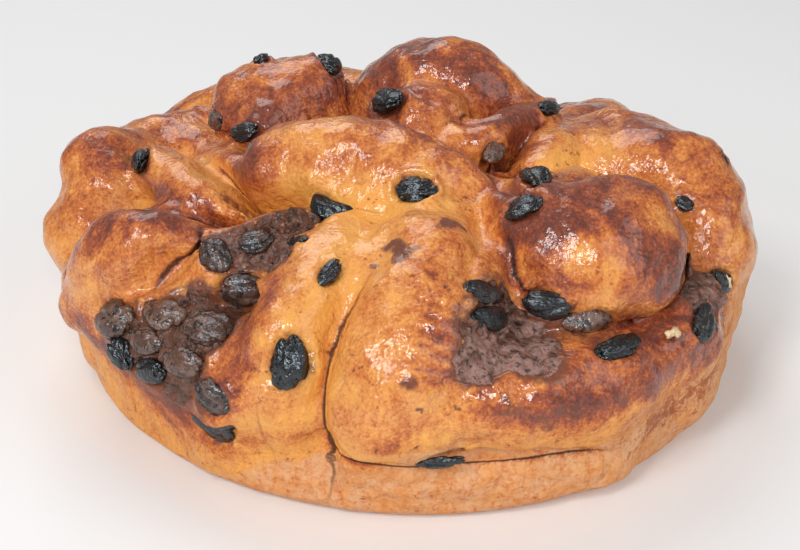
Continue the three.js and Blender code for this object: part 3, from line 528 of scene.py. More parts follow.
def smooth_line(stations, steps):
    """A uniform Catmull-Rom curve through the stations, whose ends run on straight, in even steps."""
    ends = np.concatenate([2 * stations[:1] - stations[1:2], stations, 2 * stations[-1:] - stations[-2:-1]])
    a, b, c, d = ends[:-3, None], ends[1:-2, None], ends[2:-1, None], ends[3:, None]
    u = np.linspace(0.0, 1.0, steps, endpoint=False)[None, :, None]
    curve = 0.5 * (2 * b + (c - a) * u + (2 * a - 5 * b + 4 * c - d) * u**2 + (3 * b - a - 3 * c + d) * u**3)
    return np.concatenate([curve.reshape(-1, stations.shape[1]), stations[-1:]])


def roll_path(stations, dough):
    """A roll's centre line and radius: each centre lies one radius under the proud point above the core."""
    rows = np.array(stations, float)
    ray = ray_at(rows[:, 0], rows[:, 1])
    centre = on_ray(ray, core_reach(ray, dough) + rows[:, 3] - rows[:, 2], dough)
    return smooth_line(np.concatenate([centre, rows[:, 2:3]], 1), SPINE_STEPS)


def segments(point, path):
    """For each segment of a path, its ends, the share along it nearest each point, and the way from there."""
    for start, end in zip(path[:-1], path[1:]):
        run = end[:3] - start[:3]
        share = np.clip((point - start[:3]) @ run / (run @ run), 0.0, 1.0)
        yield start, end, share, point - start[:3] - share[:, None] * run


def roll_gap(point, path):
    """Distance outside a roll: the least over its segments of the distance less the radius there."""
    least = np.full(len(point), np.inf)
    for start, end, share, off in segments(point, path):
        gap = np.linalg.norm(off, axis=1) - start[3] - share * (end[3] - start[3])
        np.minimum(least, gap, out=least)
    return least


def roll_gaps(point, dough):
    """For each roll, its bake, the points that it is near and its distance there."""
    for bake, stations in ROLLS.values():
        path = roll_path(stations, dough)
        middle = path[:, :3].mean(0)
        span = np.linalg.norm(path[:, :3] - middle, axis=1).max() + path[:, 3].max() + ROLL_NEAR
        near = np.flatnonzero(np.linalg.norm(point - middle, axis=1) < span)
        if near.size:
            yield bake, near, roll_gap(point[near], path)


def bell(away, half, tucked):
    """A soft bell across a stroke: exp of less the square of the distance over the half width."""
    return np.exp(-((away / half) ** 2))


def overlap(away, half, tucked):
    """A fold over another: exp of less the distance, which counts more on top than on the tucked side."""
    width = half * np.where(tucked, SEAM_TUCK, SEAM_TOP)
    return np.exp(SEAM_ROUND - np.hypot(away / width, SEAM_ROUND))


def line_distances(ray, lines):
    """For each line, the rays near it, how far they are, and its half width, strength and side there."""
    for stations in lines.values():
        rows = np.array(stations, float)
        path = smooth_line(np.concatenate([ray_at(rows[:, 0], rows[:, 1]), rows[:, 2:]], 1), SPINE_STEPS)
        middle = path[:, :3].mean(0)
        near = np.flatnonzero(ray @ middle > (path[:, :3] @ middle).min() - LINE_SPREAD)
        closest = np.full(near.size, np.inf)
        found = np.zeros((3, near.size))
        for start, end, share, off in segments(ray[near], path):
            away = MAP_ARM * np.linalg.norm(off, axis=1)
            half, strength = (start[3:] + share[:, None] * (end[3:] - start[3:])).T
            tucked = off @ np.cross(start[:3], end[:3] - start[:3]) < 0.0
            found = np.where(away < closest, np.stack([half, strength, tucked]), found)
            closest = np.minimum(closest, away)
        yield near, closest, found[0], found[1], found[2] > 0.5


def line_strength(ray, lines, profile):
    """Sum of the lines' strengths at each ray: strength times a profile of distance, half width and side."""
    total = np.zeros(len(ray))
    for near, away, half, strength, tucked in line_distances(ray, lines):
        total[near] += strength * profile(away, half, tucked)
    return total


def seam_lines(ray):
    """Distance to the nearest seam or painted shadow line, below zero on its tucked side, and its fading depth,
    for painting shade.
    """
    side = np.full(len(ray), SEAM_FAR)
    depth = np.zeros(len(ray))
    for near, away, _half, strength, tucked in line_distances(ray, {**SEAMS, **SHADE_LINES}):
        pick = away < np.abs(side[near])
        spot, gap = near[pick], away[pick]
        side[spot] = np.where(tucked[pick], -gap, gap)
        depth[spot] = strength[pick] * np.exp(-((gap / SEAM_SPREAD) ** 2))
    return side, depth


def skin_reach(ray, seam, dough):
    """Reach of the skin: steps inward along each ray to the melted rolls, creased and cut by the floor.

    The melted distance is -k log(sum of exp(-gap / k)) over the core and the rolls, plus the seams' depth.
    """
    reach = core_reach(ray, dough) + SEARCH_START
    live = np.arange(len(ray))
    for _ in range(SEARCH_STEPS):
        point = on_ray(ray[live], reach[live], dough)
        core = core_gap(ray[live], reach[live], point, dough) / dough.blend
        total = np.exp(-np.clip(core, -EXPONENT_LIMIT, EXPONENT_LIMIT))
        for _bake, near, gap in roll_gaps(point, dough):
            total[near] += np.exp(-np.clip(gap / dough.blend, -EXPONENT_LIMIT, EXPONENT_LIMIT))
        gap = seam[live] - dough.blend * np.log(total)
        floor = (-point[:, 2] - dough.foot_sink) / dough.foot_rounding
        gap = dough.foot_rounding * np.logaddexp(gap / dough.foot_rounding, floor)
        reach[live] -= SEARCH_SHARE * gap
        live = live[np.abs(gap) > SEARCH_CLOSE]
        if not live.size:
            break
    low = ray[:, 2] < -TINY
    reach[low] = np.minimum(reach[low], dough.disc_height / -ray[low, 2])
    return reach


def climb_rows(dough):
    """Climbs of the grid's rows: a few across the base, then even steps up the core's outline to the top."""
    trial = np.linspace(RIM_CLIMB, 90.0, CLIMB_TRIALS)
    ray = ray_at(0.0, trial)
    outline = on_ray(ray, core_reach(ray, dough), dough)
    length = np.concatenate([[0.0], np.cumsum(np.linalg.norm(np.diff(outline, axis=0), axis=1))])
    rows = np.interp(np.linspace(0.0, length[-1], ROWS + 1)[:-1], length, trial)
    return np.concatenate([BASE_CLIMBS, rows])


def soften(grid, times):
    """The grid after a 1-2-1 average along its rows and its closed columns, several times."""
    for _ in range(times):
        grid = 0.25 * np.roll(grid, 1, 1) + 0.5 * grid + 0.25 * np.roll(grid, -1, 1)
        wide = np.concatenate([grid[:1], grid, grid[-1:]])
        grid = 0.25 * wide[:-2] + 0.5 * grid + 0.25 * wide[2:]
    return grid


def grid_normals(point):
    """Outward unit normals of a grid with closed columns: the cross of its level and rising steps."""
    level = np.roll(point, -1, 1) - np.roll(point, 1, 1)
    rising = np.gradient(point, axis=0)
    normal = np.cross(level, rising)
    return normal / np.maximum(np.linalg.norm(normal, axis=-1, keepdims=True), TINY * TINY)


def waves(point, size, seed, count=18):
    """Smooth unevenness with a spread of about one: a sum of sine waves of like length in seeded directions."""
    draw = np.random.default_rng(seed)
    way = draw.normal(size=(count, 3))
    pitch = (2.0 * math.pi / size) * draw.uniform(0.7, 1.3, (count, 1))
    way *= pitch / np.linalg.norm(way, axis=1, keepdims=True)
    return np.sin(point @ way.T + draw.uniform(0.0, 2.0 * math.pi, count)).sum(-1) * math.sqrt(2.0 / count)


def layered(point, rows, seed=0):
    """A sum of waves, one for each row of length, height and first seed."""
    return sum(height * waves(point, size, first + seed) for size, height, first in rows)


def fade(value, low, high):
    """Smooth rise from 0 at low to 1 at high."""
    share = np.clip((value - low) / (high - low), 0.0, 1.0)
    return share * share * (3.0 - 2.0 * share)


@functools.lru_cache(maxsize=1)
def crust_grid(dough):
    """The smooth skin on a grid of bearings and climbs, with its normals and its rolls' bake at each point."""
    bearing = np.linspace(-180.0, 180.0, COLUMNS, endpoint=False)
    climb = climb_rows(dough)
    ray = ray_at(bearing[None, :], climb[:, None])
    flat = ray.reshape(-1, 3)
    seam = line_strength(flat, SEAMS, overlap)
    reach = soften(skin_reach(flat, seam, dough).reshape(ray.shape[:2]), 1)
    low = ray[..., 2] < -TINY
    floor = dough.disc_height / np.where(low, -ray[..., 2], 1.0)
    base = len(BASE_CLIMBS)
    reach = np.where(low, np.minimum(reach, floor), reach)
    reach[:base] = floor[:base]
    point = on_ray(ray, reach, dough)
    weight = np.exp(-core_gap(flat, reach.ravel(), point.reshape(-1, 3), dough) / ROLL_BAKE_SPREAD)
    bake = CORE_BAKE * weight
    for roll_bake, near, gap in roll_gaps(point.reshape(-1, 3), dough):
        share = np.exp(-gap / ROLL_BAKE_SPREAD)
        bake[near] += roll_bake * share
        weight[near] += share
    top = skin_reach(ray_at(np.zeros(1), np.full(1, 90.0)), np.zeros(1), dough)
    return Crust(
        bearing, climb, ray, reach, seam.reshape(reach.shape), point, grid_normals(point),
        (bake / weight).reshape(reach.shape),
        top=on_ray(np.array([[0.0, 0.0, 1.0]]), top, dough),
        base=np.zeros((1, 3)),
    )


def skin_at(bearing, climb, dough):
    """Reach at any bearings and climbs of the skin with its seams bridged, read between the grid's points."""
    crust = crust_grid(dough)
    reach = crust.reach + (1.0 - SEAM_BRIDGE) * crust.seam
    column = (np.asarray(bearing, float) + 180.0) / 360.0 * COLUMNS
    row = np.clip(np.interp(climb, crust.climb, np.arange(len(crust.climb))), 0, len(crust.climb) - 1.001)
    left, low = np.floor(column).astype(int), np.floor(row).astype(int)
    across, up = column - left, row - low
    a, b = reach[low, left % COLUMNS], reach[low, (left + 1) % COLUMNS]
    c, d = reach[low + 1, left % COLUMNS], reach[low + 1, (left + 1) % COLUMNS]
    return (a + (b - a) * across) * (1.0 - up) + (c + (d - c) * across) * up


def filling_place(row, dough):
    """Degrees of bearing and of climb to a millimetre at the middle of a patch of filling."""
    bearing, climb = row[:2]
    ray = ray_at(np.array([bearing]), np.array([climb]))
    point = on_ray(ray, skin_at([bearing], [climb], dough), dough)[0]
    return math.degrees(1.0 / math.hypot(point[0], point[1])), math.degrees(1.0 / core_reach(ray, dough)[0])


def filling_edge(angle, bearing):
    """Ragged edge of a patch of filling, as a share of its half sizes: one plus two sine waves round it."""
    return 1.0 + FILLING_RAGGED * np.sin(3.0 * angle + bearing) + FILLING_RAGGED * np.sin(5.0 * angle)


def filling_share(bearing, climb, row, dough):
    """How far out in a patch of filling each place lies: 0 in the middle and 1 at its ragged edge."""
    middle, height, half_width, half_height, turn = row[:5]
    wide, tall = filling_place(row, dough)
    east = ((bearing - middle + 180.0) % 360.0 - 180.0) / wide
    north = (climb - height) / tall
    tilt = math.radians(turn)
    across = (east * math.cos(tilt) + north * math.sin(tilt)) / half_width
    up = (north * math.cos(tilt) - east * math.sin(tilt)) / half_height
    return np.hypot(across, up) / filling_edge(np.arctan2(up, across), middle)


def raisin_box(node):
    """A raisin's middle, axes, half sizes and bend in millimetres, from the spread of its solid's corners."""
    mesh = node.data
    corners = np.empty(len(mesh.vertices) * 3)
    mesh.vertices.foreach_get("co", corners)
    corners = np.unique((corners.reshape(-1, 3) / MM).round(3), axis=0)
    middle = corners.mean(0)
    _, axes = np.linalg.eigh(np.cov((corners - middle).T))
    axes = axes.T[::-1].copy()
    axes[2] *= np.sign(axes[2] @ (middle - np.array([0.0, 0.0, middle[2] * OUTWARD_LEVEL]))) or 1.0
    axes[1] = np.cross(axes[2], axes[0])
    local = (corners - middle) @ axes.T
    half = 0.5 * (local.max(0) - local.min(0))
    middle = middle + 0.5 * (local.max(0) + local.min(0)) @ axes
    local = (corners - middle) @ axes.T
    bend = np.polyfit(local[:, 0] / half[0], local[:, 1], 2)[0]
    return middle, axes, half, bend


def raisin_nodes():
    """The raisins' solids in the order of their names."""
    return [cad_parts[name] for name in sorted(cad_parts) if name.startswith("raisin_")]


def raisin_share(point):
    """How far out from the nearest raisin each point lies: 0 on its bent middle line and 1 at its edge."""
    least = np.full(len(point), np.inf)
    for node in raisin_nodes():
        middle, axes, half, bend = raisin_box(node)
        near = np.flatnonzero(np.linalg.norm(point - middle, axis=1) < RAISIN_NEAR * half[0])
        along, across, _up = ((point[near] - middle) @ axes.T / half).T
        across = across - bend / half[1] * (along**2 - BEND_LEVEL)
        least[near] = np.minimum(least[near], np.hypot(along, across))
    return least


def torn_fringe(bearing, climb, point):
    """Ridges of torn dough beside the right-hand filling: a sine wave down the slope, inside a soft band."""
    band = np.exp(-(((bearing - FRINGE_BEARING) / FRINGE_HALF) ** 2))
    band = band * fade(climb, *FRINGE_LOW) * fade(climb, *FRINGE_HIGH)
    down = climb + FRINGE_LEAN * bearing + layered(point, FRINGE_WAVES)
    return band, np.sin(2.0 * math.pi * down / FRINGE_PITCH)


def crust_places(crust):
    """Bearing, climb and point of each of the grid's places, as flat rows."""
    bearing, climb = np.broadcast_arrays(crust.bearing[None, :], crust.climb[:, None])
    return bearing.ravel(), climb.ravel(), crust.point.reshape(-1, 3)


def crust_relief(crust, dough):
    """Fine relief along the normals, and the stain painted with it, on the crust's grid.

    Broad, middling and fine waves, finer ones on the tin side, a hollow with an uneven lip under each raisin,
    hollows for the filling, and the torn fringe.
    """
    bearing, climb, point = crust_places(crust)
    relief = dough.lump * layered(point, LUMP_WAVES)
    relief += tin_side(crust).ravel() * layered(point * TIN_STRETCH, TIN_WAVES)
    out = raisin_share(point)
    lip = np.exp(-(((out - LIP_PLACE) / LIP_WIDTH) ** 2)) * (LIP_HEIGHT + layered(point, LIP_WAVES))
    relief += lip - RAISIN_HOLLOW * np.exp(-(out**6))
    stain = STAIN_STRENGTH * np.exp(-((out / RAISIN_STAIN) ** 6))
    bridge = np.exp(-((out / RAISIN_BRIDGE) ** 4))
    for row in FILLINGS.values():
        share = filling_share(bearing, climb, row, dough)
        relief -= FILLING_HOLLOW * fade(share, *HOLLOW_EDGE)
        stain = np.maximum(stain, STAIN_STRENGTH * fade(share, *STAIN_EDGE))
        bridge = np.maximum(bridge, fade(share, *BRIDGE_EDGE))
    relief += (1.0 - SEAM_BRIDGE) * crust.seam.ravel() * bridge
    band, ridge = torn_fringe(bearing, climb, point)
    relief += FRINGE_HEIGHT * band * ridge
    relief *= fade(point[:, 2], *FOOT_FADE)
    return relief.reshape(crust.reach.shape), stain.reshape(crust.reach.shape)


def tin_side(crust):
    """Share of the matte tin side at each grid point: full below the band's top there, none above."""
    bearing, height = np.array(TIN_BAND, float).T
    top = np.interp(crust.bearing, bearing, height)[None, :] + layered(crust.point, TIN_EDGE_WAVES)
    return fade(crust.point[..., 2], top + TIN_EDGE_SOFT, top - TIN_EDGE_SOFT)


def crust_bake(crust):
    """How far the crust is baked: its rolls, more where it stands or faces up, strokes (some of them painted
    shade) and torn fringe.
    """
    ray = crust.ray.reshape(-1, 3)
    shape = crust.reach.shape
    proud = crust.reach - soften(crust.reach, PROUD_SPREAD)
    upward = soften(crust.normal, UPWARD_SPREAD)[..., 2] - UPWARD_LEVEL
    bake = crust.bake + PROUD_BAKE * np.clip(proud, *PROUD_RANGE) + UPWARD_BAKE * upward
    bake += (line_strength(ray, BROWN_STROKES, bell) - line_strength(ray, PALE_STROKES, bell)).reshape(shape)
    band, ridge = torn_fringe(*crust_places(crust))
    return bake + (band * (FRINGE_BAKE - FRINGE_RIDGE_BAKE * ridge)).reshape(shape)


def flush_spots(crust):
    """Strength of the spots where raisins lie flush: a bell round each spot, whose size is uneven."""
    ray = crust.ray.reshape(-1, 3)
    uneven = 1.0 + layered(crust.point.reshape(-1, 3), SPOT_WAVES)
    total = np.zeros(len(ray))
    for bearing, climb, half, strength in FLUSH_SPOTS:
        away = MAP_ARM * np.linalg.norm(ray - ray_at(bearing, climb), axis=1) * uneven
        total = np.maximum(total, strength * np.exp(-((away / half) ** 4)))
    return total.reshape(crust.reach.shape)


def tube_faces(rows, columns, first=0):
    """Faces of a closed grid: quads between its rows, and fans to the start and end points that follow it."""
    row, column = np.meshgrid(np.arange(rows - 1) * columns, np.arange(columns), indexing="ij")
    after = (column + 1) % columns
    quads = np.stack([row + column, row + after, row + columns + after, row + columns + column], -1)
    ring, step = np.arange(columns), (np.arange(columns) + 1) % columns
    start, end = np.full(columns, rows * columns), np.full(columns, rows * columns + 1)
    last = (rows - 1) * columns
    fans = np.concatenate([np.stack([start, step, ring], -1), np.stack([end, last + ring, last + step], -1)])
    return (quads.reshape(-1, 4) + first).tolist() + (fans + first).tolist()


def add_piece(name, point, faces, attributes, material, replaced):
    """Puts a surface into a mesh in metres, paints its attributes, and ties it to the frame."""
    mesh = bpy.data.meshes.new(name)
    mesh.from_pydata(point * MM, [], faces)
    for label, values in attributes.items():
        layer = mesh.attributes.new(label, "FLOAT", "POINT")
        layer.data.foreach_set("value", np.ascontiguousarray(values, np.float32))
    mesh.shade_smooth()
    mesh.materials.append(material)
    piece = bpy.data.objects.new(name, mesh)
    bpy.context.scene.collection.objects.link(piece)
    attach(piece, "root")
    if replaced:
        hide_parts(*replaced)
    return piece


def add_group(name, points, grid, tints, material, replaced):
    """Joins like closed grids into one piece, in which each has a tint of its own."""
    faces = []
    for index, point in enumerate(points):
        faces += tube_faces(*grid, first=index * len(point))
    painted = {"tint": np.repeat(tints, len(points[0]))}
    return add_piece(name, np.concatenate(points), faces, painted, material, replaced)


def ball_rays(rows, columns):
    """Unit rays on rings from one end of the X axis to the other, and then along its two ends."""
    along = np.linspace(math.pi, 0.0, rows + 2)[1:-1, None]
    around = np.linspace(0.0, 2.0 * math.pi, columns, endpoint=False)[None, :]
    level, up = np.sin(along) * np.cos(around), np.sin(along) * np.sin(around)
    rings = np.stack(np.broadcast_arrays(np.cos(along), level, up), -1)
    return np.concatenate([rings.reshape(-1, 3), [[-1.0, 0.0, 0.0], [1.0, 0.0, 0.0]]])


class Finish:
    """Builds one material's nodes. An input is a value set on the socket itself, or another node's output."""

    def __init__(self, name):
        self.material = bpy.data.materials.new(name)
        self.material.use_nodes = True
        self.tree = self.material.node_tree
        self.surface = self.tree.nodes["Principled BSDF"]
        self.place = self.add("ShaderNodeTexCoord").outputs["Object"]

    def add(self, kind, inputs=None, **settings):
        node = self.tree.nodes.new(kind)
        for label, value in settings.items():
            setattr(node, label, value)
        self.feed(node, inputs or {})
        return node

    def feed(self, node, inputs):
        for label, value in inputs.items():
            if isinstance(value, bpy.types.NodeSocket):
                self.tree.links.new(value, node.inputs[label])
            else:
                node.inputs[label].default_value = value

    def noise(self, scale, detail=3.0, roughness=0.5, distortion=0.0, stretch=None):
        place = self.place
        if stretch:
            place = self.add("ShaderNodeMapping", {"Vector": place, "Scale": stretch}).outputs[0]
        inputs = {"Vector": place, "Scale": scale, "Detail": detail, "Roughness": roughness}
        return self.add("ShaderNodeTexNoise", {**inputs, "Distortion": distortion}).outputs[0]

    def painted(self, name):
        return self.add("ShaderNodeAttribute", attribute_name=name).outputs["Fac"]

    def sum(self, value, share, other):
        """value x share + other."""
        return self.add("ShaderNodeMath", {0: value, 1: share, 2: other}, operation="MULTIPLY_ADD").outputs[0]

    def size(self, value):
        """value without its sign."""
        return self.add("ShaderNodeMath", {0: value}, operation="ABSOLUTE").outputs[0]

    def least(self, value, other):
        """The lower of two values."""
        return self.add("ShaderNodeMath", {0: value, 1: other}, operation="MINIMUM").outputs[0]

    def product(self, value, other):
        """value x other."""
        return self.add("ShaderNodeMath", {0: value, 1: other}, operation="MULTIPLY").outputs[0]

    def step(self, value, low, high, start=0.0, end=1.0):
        """Smooth change from start to end while value goes from low to high."""
        inputs = {"Value": value, "From Min": low, "From Max": high, "To Min": start, "To Max": end}
        return self.add("ShaderNodeMapRange", inputs, interpolation_type="SMOOTHSTEP").outputs["Result"]

    def mix(self, share, colour, other):
        return self.add("ShaderNodeMix", {0: share, 6: colour, 7: other}, data_type="RGBA").outputs[2]

    def ramp(self, value, stops):
        node = self.add("ShaderNodeValToRGB", {0: value})
        while len(node.color_ramp.elements) < len(stops):
            node.color_ramp.elements.new(0.5)
        for element, (place, colour) in zip(node.color_ramp.elements, stops):
            element.position = place
            element.color = colour
        return node.outputs[0]

    def bump(self, height, distance, strength):
        inputs = {"Height": height, "Distance": distance, "Strength": strength}
        return self.add("ShaderNodeBump", inputs).outputs[0]

    def done(self, inputs):
        self.feed(self.surface, inputs)
        return self.material


def rgba(colour):
    return (*colour, 1.0)


def crust_finish(colours):
    """Baked crust: a browning scale from pale to burnt, a matte tin side, stains, painted shade along and under
    the seams, and an uneven glaze.
    """
    f = Finish("baked crust")
    broad, mottle = f.noise(40.0, 4.0, 0.6, 0.5), f.noise(150.0, 6.0, 0.68, 0.7)
    fleck, grain = f.noise(480.0, 5.0, 0.65, 0.4), f.noise(1300.0, 3.0, 0.6)
    streak = f.noise(420.0, 4.0, 0.6, 0.3, stretch=(1.0, 1.0, 0.22))
    smear = f.noise(62.0, 5.0, 0.62, 1.7)
    dimple, pore = f.noise(240.0, 2.0, 0.5, 0.6), f.noise(700.0, 2.0, 0.5)
    bake, seam_side = f.painted("bake"), f.painted("seam_side")
    # How strongly each deep seam gets painted shade.
    seam = f.step(f.painted("seam_depth"), 2.6, 4.6, 0.0, 0.85)
    fine = f.sum(grain, 0.95, f.sum(streak, 0.6, f.sum(fleck, 0.4, -0.975)))
    patchy = f.sum(broad, 0.35, f.sum(smear, 0.9, f.sum(mottle, 0.3, -0.775)))
    toast = f.sum(patchy, f.step(bake, 0.1, 0.7, 0.8, 1.9), bake)
    toast = f.sum(fine, f.step(bake, 0.05, 0.6, 0.75, 1.0), toast)
    # Painted shade, partly darker bake: the crust is browned on the tucked side just under each deep seam's
    # fold.
    under = f.product(f.step(seam_side, -4.0, -0.3), f.step(seam_side, 0.5, -0.2))
    toast = f.sum(f.product(under, seam), 0.4, toast)
    toast = f.least(toast, f.sum(fine, 0.9, f.sum(smear, 0.5, f.sum(mottle, 0.5, 0.38))))
    pale, gold, amber = rgba(colours.pale), rgba(colours.gold), rgba(colours.amber)
    brown, burnt = rgba(colours.brown), rgba(colours.burnt)
    crust = f.ramp(toast, [(0.0, pale), (0.22, gold), (0.46, amber), (0.72, brown), (1.0, burnt)])
    speck = f.product(f.step(f.sum(grain, 0.3, fleck), 0.75, 0.83), f.step(smear, 0.42, 0.58, 0.0, 0.75))
    crust = f.mix(speck, crust, burnt)
    tin = f.step(f.sum(fleck, 0.4, f.sum(mottle, 0.6, f.painted("tin"))), 0.6, 1.3)
    side = f.mix(f.step(mottle, 0.38, 0.62, 0.0, 0.65), rgba(colours.tin), gold)
    side = f.mix(f.step(f.sum(grain, 0.6, f.sum(streak, 0.5, fleck)), 0.9, 1.3, 0.0, 0.7), side, amber)
    side = f.mix(f.product(f.step(fleck, 0.58, 0.7, 0.0, 0.8), f.step(smear, 0.42, 0.6)), side, brown)
    side = f.mix(f.step(toast, 0.45, 1.0, 0.0, 0.8), side, brown)
    colour = f.mix(tin, crust, side)
    stain = f.step(f.sum(fleck, 0.8, f.sum(mottle, 1.2, f.sum(f.painted("stain"), 1.0, -1.0))), 0.35, 0.9)
    colour = f.mix(stain, colour, rgba(colours.stain))
    # Painted shade: a near-black line in the raisin colour along each deep seam and shadow line, with little
    # glaze on it.
    wander = f.size(f.sum(fleck, 0.7, f.sum(seam_side, 1.0, -0.15)))
    line = f.product(f.step(wander, 0.42, 0.1), seam)
    colour = f.mix(line, colour, rgba(colours.raisin))
    brushed = f.step(f.sum(smear, 0.6, f.sum(bake, -0.4, broad)), 0.55, 0.95, 0.95, 0.4)
    glaze = f.product(f.step(f.sum(line, 1.0, tin), 0.0, 1.0, 1.0, 0.05), brushed)
    height = f.add("ShaderNodeSeparateXYZ", {0: f.place}).outputs["Z"]
    glaze = f.product(glaze, f.step(height, 0.018, 0.042, 0.2, 1.0))
    skin = f.sum(pore, 0.45, dimple)
    return f.done({
        "Base Color": colour,
        "Roughness": f.sum(tin, 0.15, f.sum(mottle, 0.3, 0.4)),
        "Specular IOR Level": 0.22,
        "Coat Weight": glaze,
        "Coat IOR": 1.5,
        "Coat Roughness": 0.1,
        "Normal": f.bump(skin, 0.0009, 0.9),
        "Coat Normal": f.bump(skin, 0.0009, 0.5),
    })


def filling_finish(colours):
    """Burst filling: dark sugary paste or dull mauve paste, lumpy and pitted, with wet glints."""
    f = Finish("burst filling")
    lump, fleck, pit = f.noise(230.0, 5.0, 0.65, 0.5), f.noise(620.0, 4.0, 0.6), f.noise(900.0, 2.0)
    mauve = f.painted("mauve")
    paste = f.mix(mauve, rgba(colours.paste), rgba(colours.mauve))
    colour = f.mix(f.step(lump, 0.36, 0.56), rgba(colours.paste), paste)
    colour = f.mix(f.step(fleck, 0.56, 0.72, 0.0, 0.6), colour, rgba(colours.brown))
    colour = f.mix(f.step(fleck, 0.47, 0.36, 0.0, 0.8), colour, rgba(colours.raisin))
    skin = f.bump(f.sum(pit, 0.8, lump), 0.0013, 0.7)
    return f.done({
        "Base Color": colour,
        "Roughness": f.sum(mauve, 0.2, f.sum(lump, 0.3, 0.1)),
        "Specular IOR Level": 0.45,
        "Normal": skin,
    })


def raisin_finish(colours):
    """Raisin skin: black or glazed brown, bloomed in patches, with sharp glints on its folds."""
    f = Finish("raisin skin")
    patch, fold = f.noise(260.0, 4.0, 0.6), f.noise(620.0, 2.0, 0.5, 0.8)
    tint = f.painted("tint")
    colour = f.mix(tint, rgba(colours.raisin), rgba(colours.glazed))
    colour = f.mix(f.product(tint, f.step(patch, 0.45, 0.62)), colour, rgba(colours.bloom))
    colour = f.mix(f.step(fold, 0.5, 0.36, 0.0, 0.85), colour, rgba(colours.raisin))
    return f.done({
        "Base Color": colour,
        "Roughness": f.sum(patch, 0.25, 0.06),
        "Specular IOR Level": 0.85,
        "Specular Tint": (0.80, 0.92, 1.0, 1.0),
        "Normal": f.bump(f.sum(fold, 0.6, patch), 0.0012, 0.6),
    })


def crumb_finish(colours):
    """Dry crumbs: pale or brown, rough and pitted."""
    f = Finish("dry crumb")
    pit = f.noise(1200.0, 4.0)
    colour = f.mix(f.painted("tint"), rgba(colours.crumb), rgba(colours.brown))
    colour = f.mix(f.step(pit, 0.4, 0.7, 0.0, 0.5), colour, rgba(colours.gold))
    return f.done({
        "Base Color": colour,
        "Roughness": f.sum(pit, 0.3, 0.55),
        "Normal": f.bump(pit, 0.0004, 0.6),
    })


class BREAD_OT_crust(bpy.types.Operator):
    """Builds the baked crust from the melted rolls of dough"""

    bl_idname = "bread.crust"
    bl_label = "Crust"

    def execute(self, context):
        dough = dough_sizes(context.scene.bread_shape)
        crust = crust_grid(dough)
        relief, stain = crust_relief(crust, dough)
        point = crust.point + relief[..., None] * crust.normal
        point[..., 2] = np.maximum(point[..., 2], 0.0)
        side, depth = seam_lines(crust.ray.reshape(-1, 3))
        layers = {
            "bake": crust_bake(crust),
            "tin": tin_side(crust),
            "stain": np.maximum(stain, flush_spots(crust)),
            "seam_side": side.reshape(crust.reach.shape),
            "seam_depth": depth.reshape(crust.reach.shape),
        }
        painted = {
            label: np.concatenate([grid.ravel(), [grid[0].mean(), grid[-1].mean()]])
            for label, grid in layers.items()
        }
        point = np.concatenate([point.reshape(-1, 3), crust.base, crust.top])
        faces = tube_faces(*crust.reach.shape)
        finish = crust_finish(context.scene.bread_colours)
        add_piece("crust", point, faces, painted, finish, ["loaf"])
        return {"FINISHED"}


class BREAD_OT_filling(bpy.types.Operator):
    """Builds the lumpy patches of filling that burst out between the folds"""

    bl_idname = "bread.filling"
    bl_label = "Filling"

    def execute(self, context):
        dough = dough_sizes(context.scene.bread_shape)
        finish = filling_finish(context.scene.bread_colours)
        for seed, (name, row) in enumerate(FILLINGS.items()):
            point, north = self.patch(row, dough, seed)
            mauve = row[6] * fade(north, *MAUVE_FADE)
            faces = tube_faces(2 * FILLING_RINGS - 1, FILLING_SECTORS)
            add_piece(name + "_paste", point, faces, {"mauve": mauve}, finish, [name])
        return {"FINISHED"}

    @staticmethod
    def patch(row, dough, seed):
        """A lens on the skin inside a ragged ellipse, and how far up the patch each point lies, from -1 to 1.

        Rings run from the middle of its foot out to the edge and back over the top, lifted by an arch (one less
        the share squared) of crest or depth, with lumps on the top and a hollow round each raisin.
        """
        bearing, climb, half_width, half_height, turn, crest, _mauve = row
        wide, tall = filling_place(row, dough)
        tilt = math.radians(turn)
        ring = np.arange(1, 2 * FILLING_RINGS)
        share = (1.0 - np.abs(1.0 - ring / FILLING_RINGS))[:, None]
        swell = np.where(ring < FILLING_RINGS, -FILLING_DEPTH, crest)[:, None]
        angle = np.linspace(0.0, 2.0 * math.pi, FILLING_SECTORS, endpoint=False)[None, :]
        edge = filling_edge(angle, bearing)
        across, up = share * half_width * edge * np.cos(angle), share * half_height * edge * np.sin(angle)
        east = across * math.cos(tilt) - up * math.sin(tilt)
        north = across * math.sin(tilt) + up * math.cos(tilt)
        east, north = (np.concatenate([grid.ravel(), [0.0, 0.0]]) for grid in (east, north))
        arch = np.concatenate([(swell * (1.0 - share**2) + 0.0 * angle).ravel(), [-FILLING_DEPTH, crest]])
        ray = ray_at(bearing + east * wide, climb + north * tall)
        skin = skin_at(bearing + east * wide, climb + north * tall, dough)
        point = on_ray(ray, skin + arch, dough)
        lumps = np.abs(layered(point, FILLING_SWELLS, seed)) + layered(point, FILLING_LUMPS, seed)
        lumps -= FILLING_SINK + FILLING_DENT * np.exp(-((raisin_share(point) / FILLING_DENT_SIZE) ** 4))
        return point + (lumps * (arch >= 0.0))[:, None] * ray, north / half_height


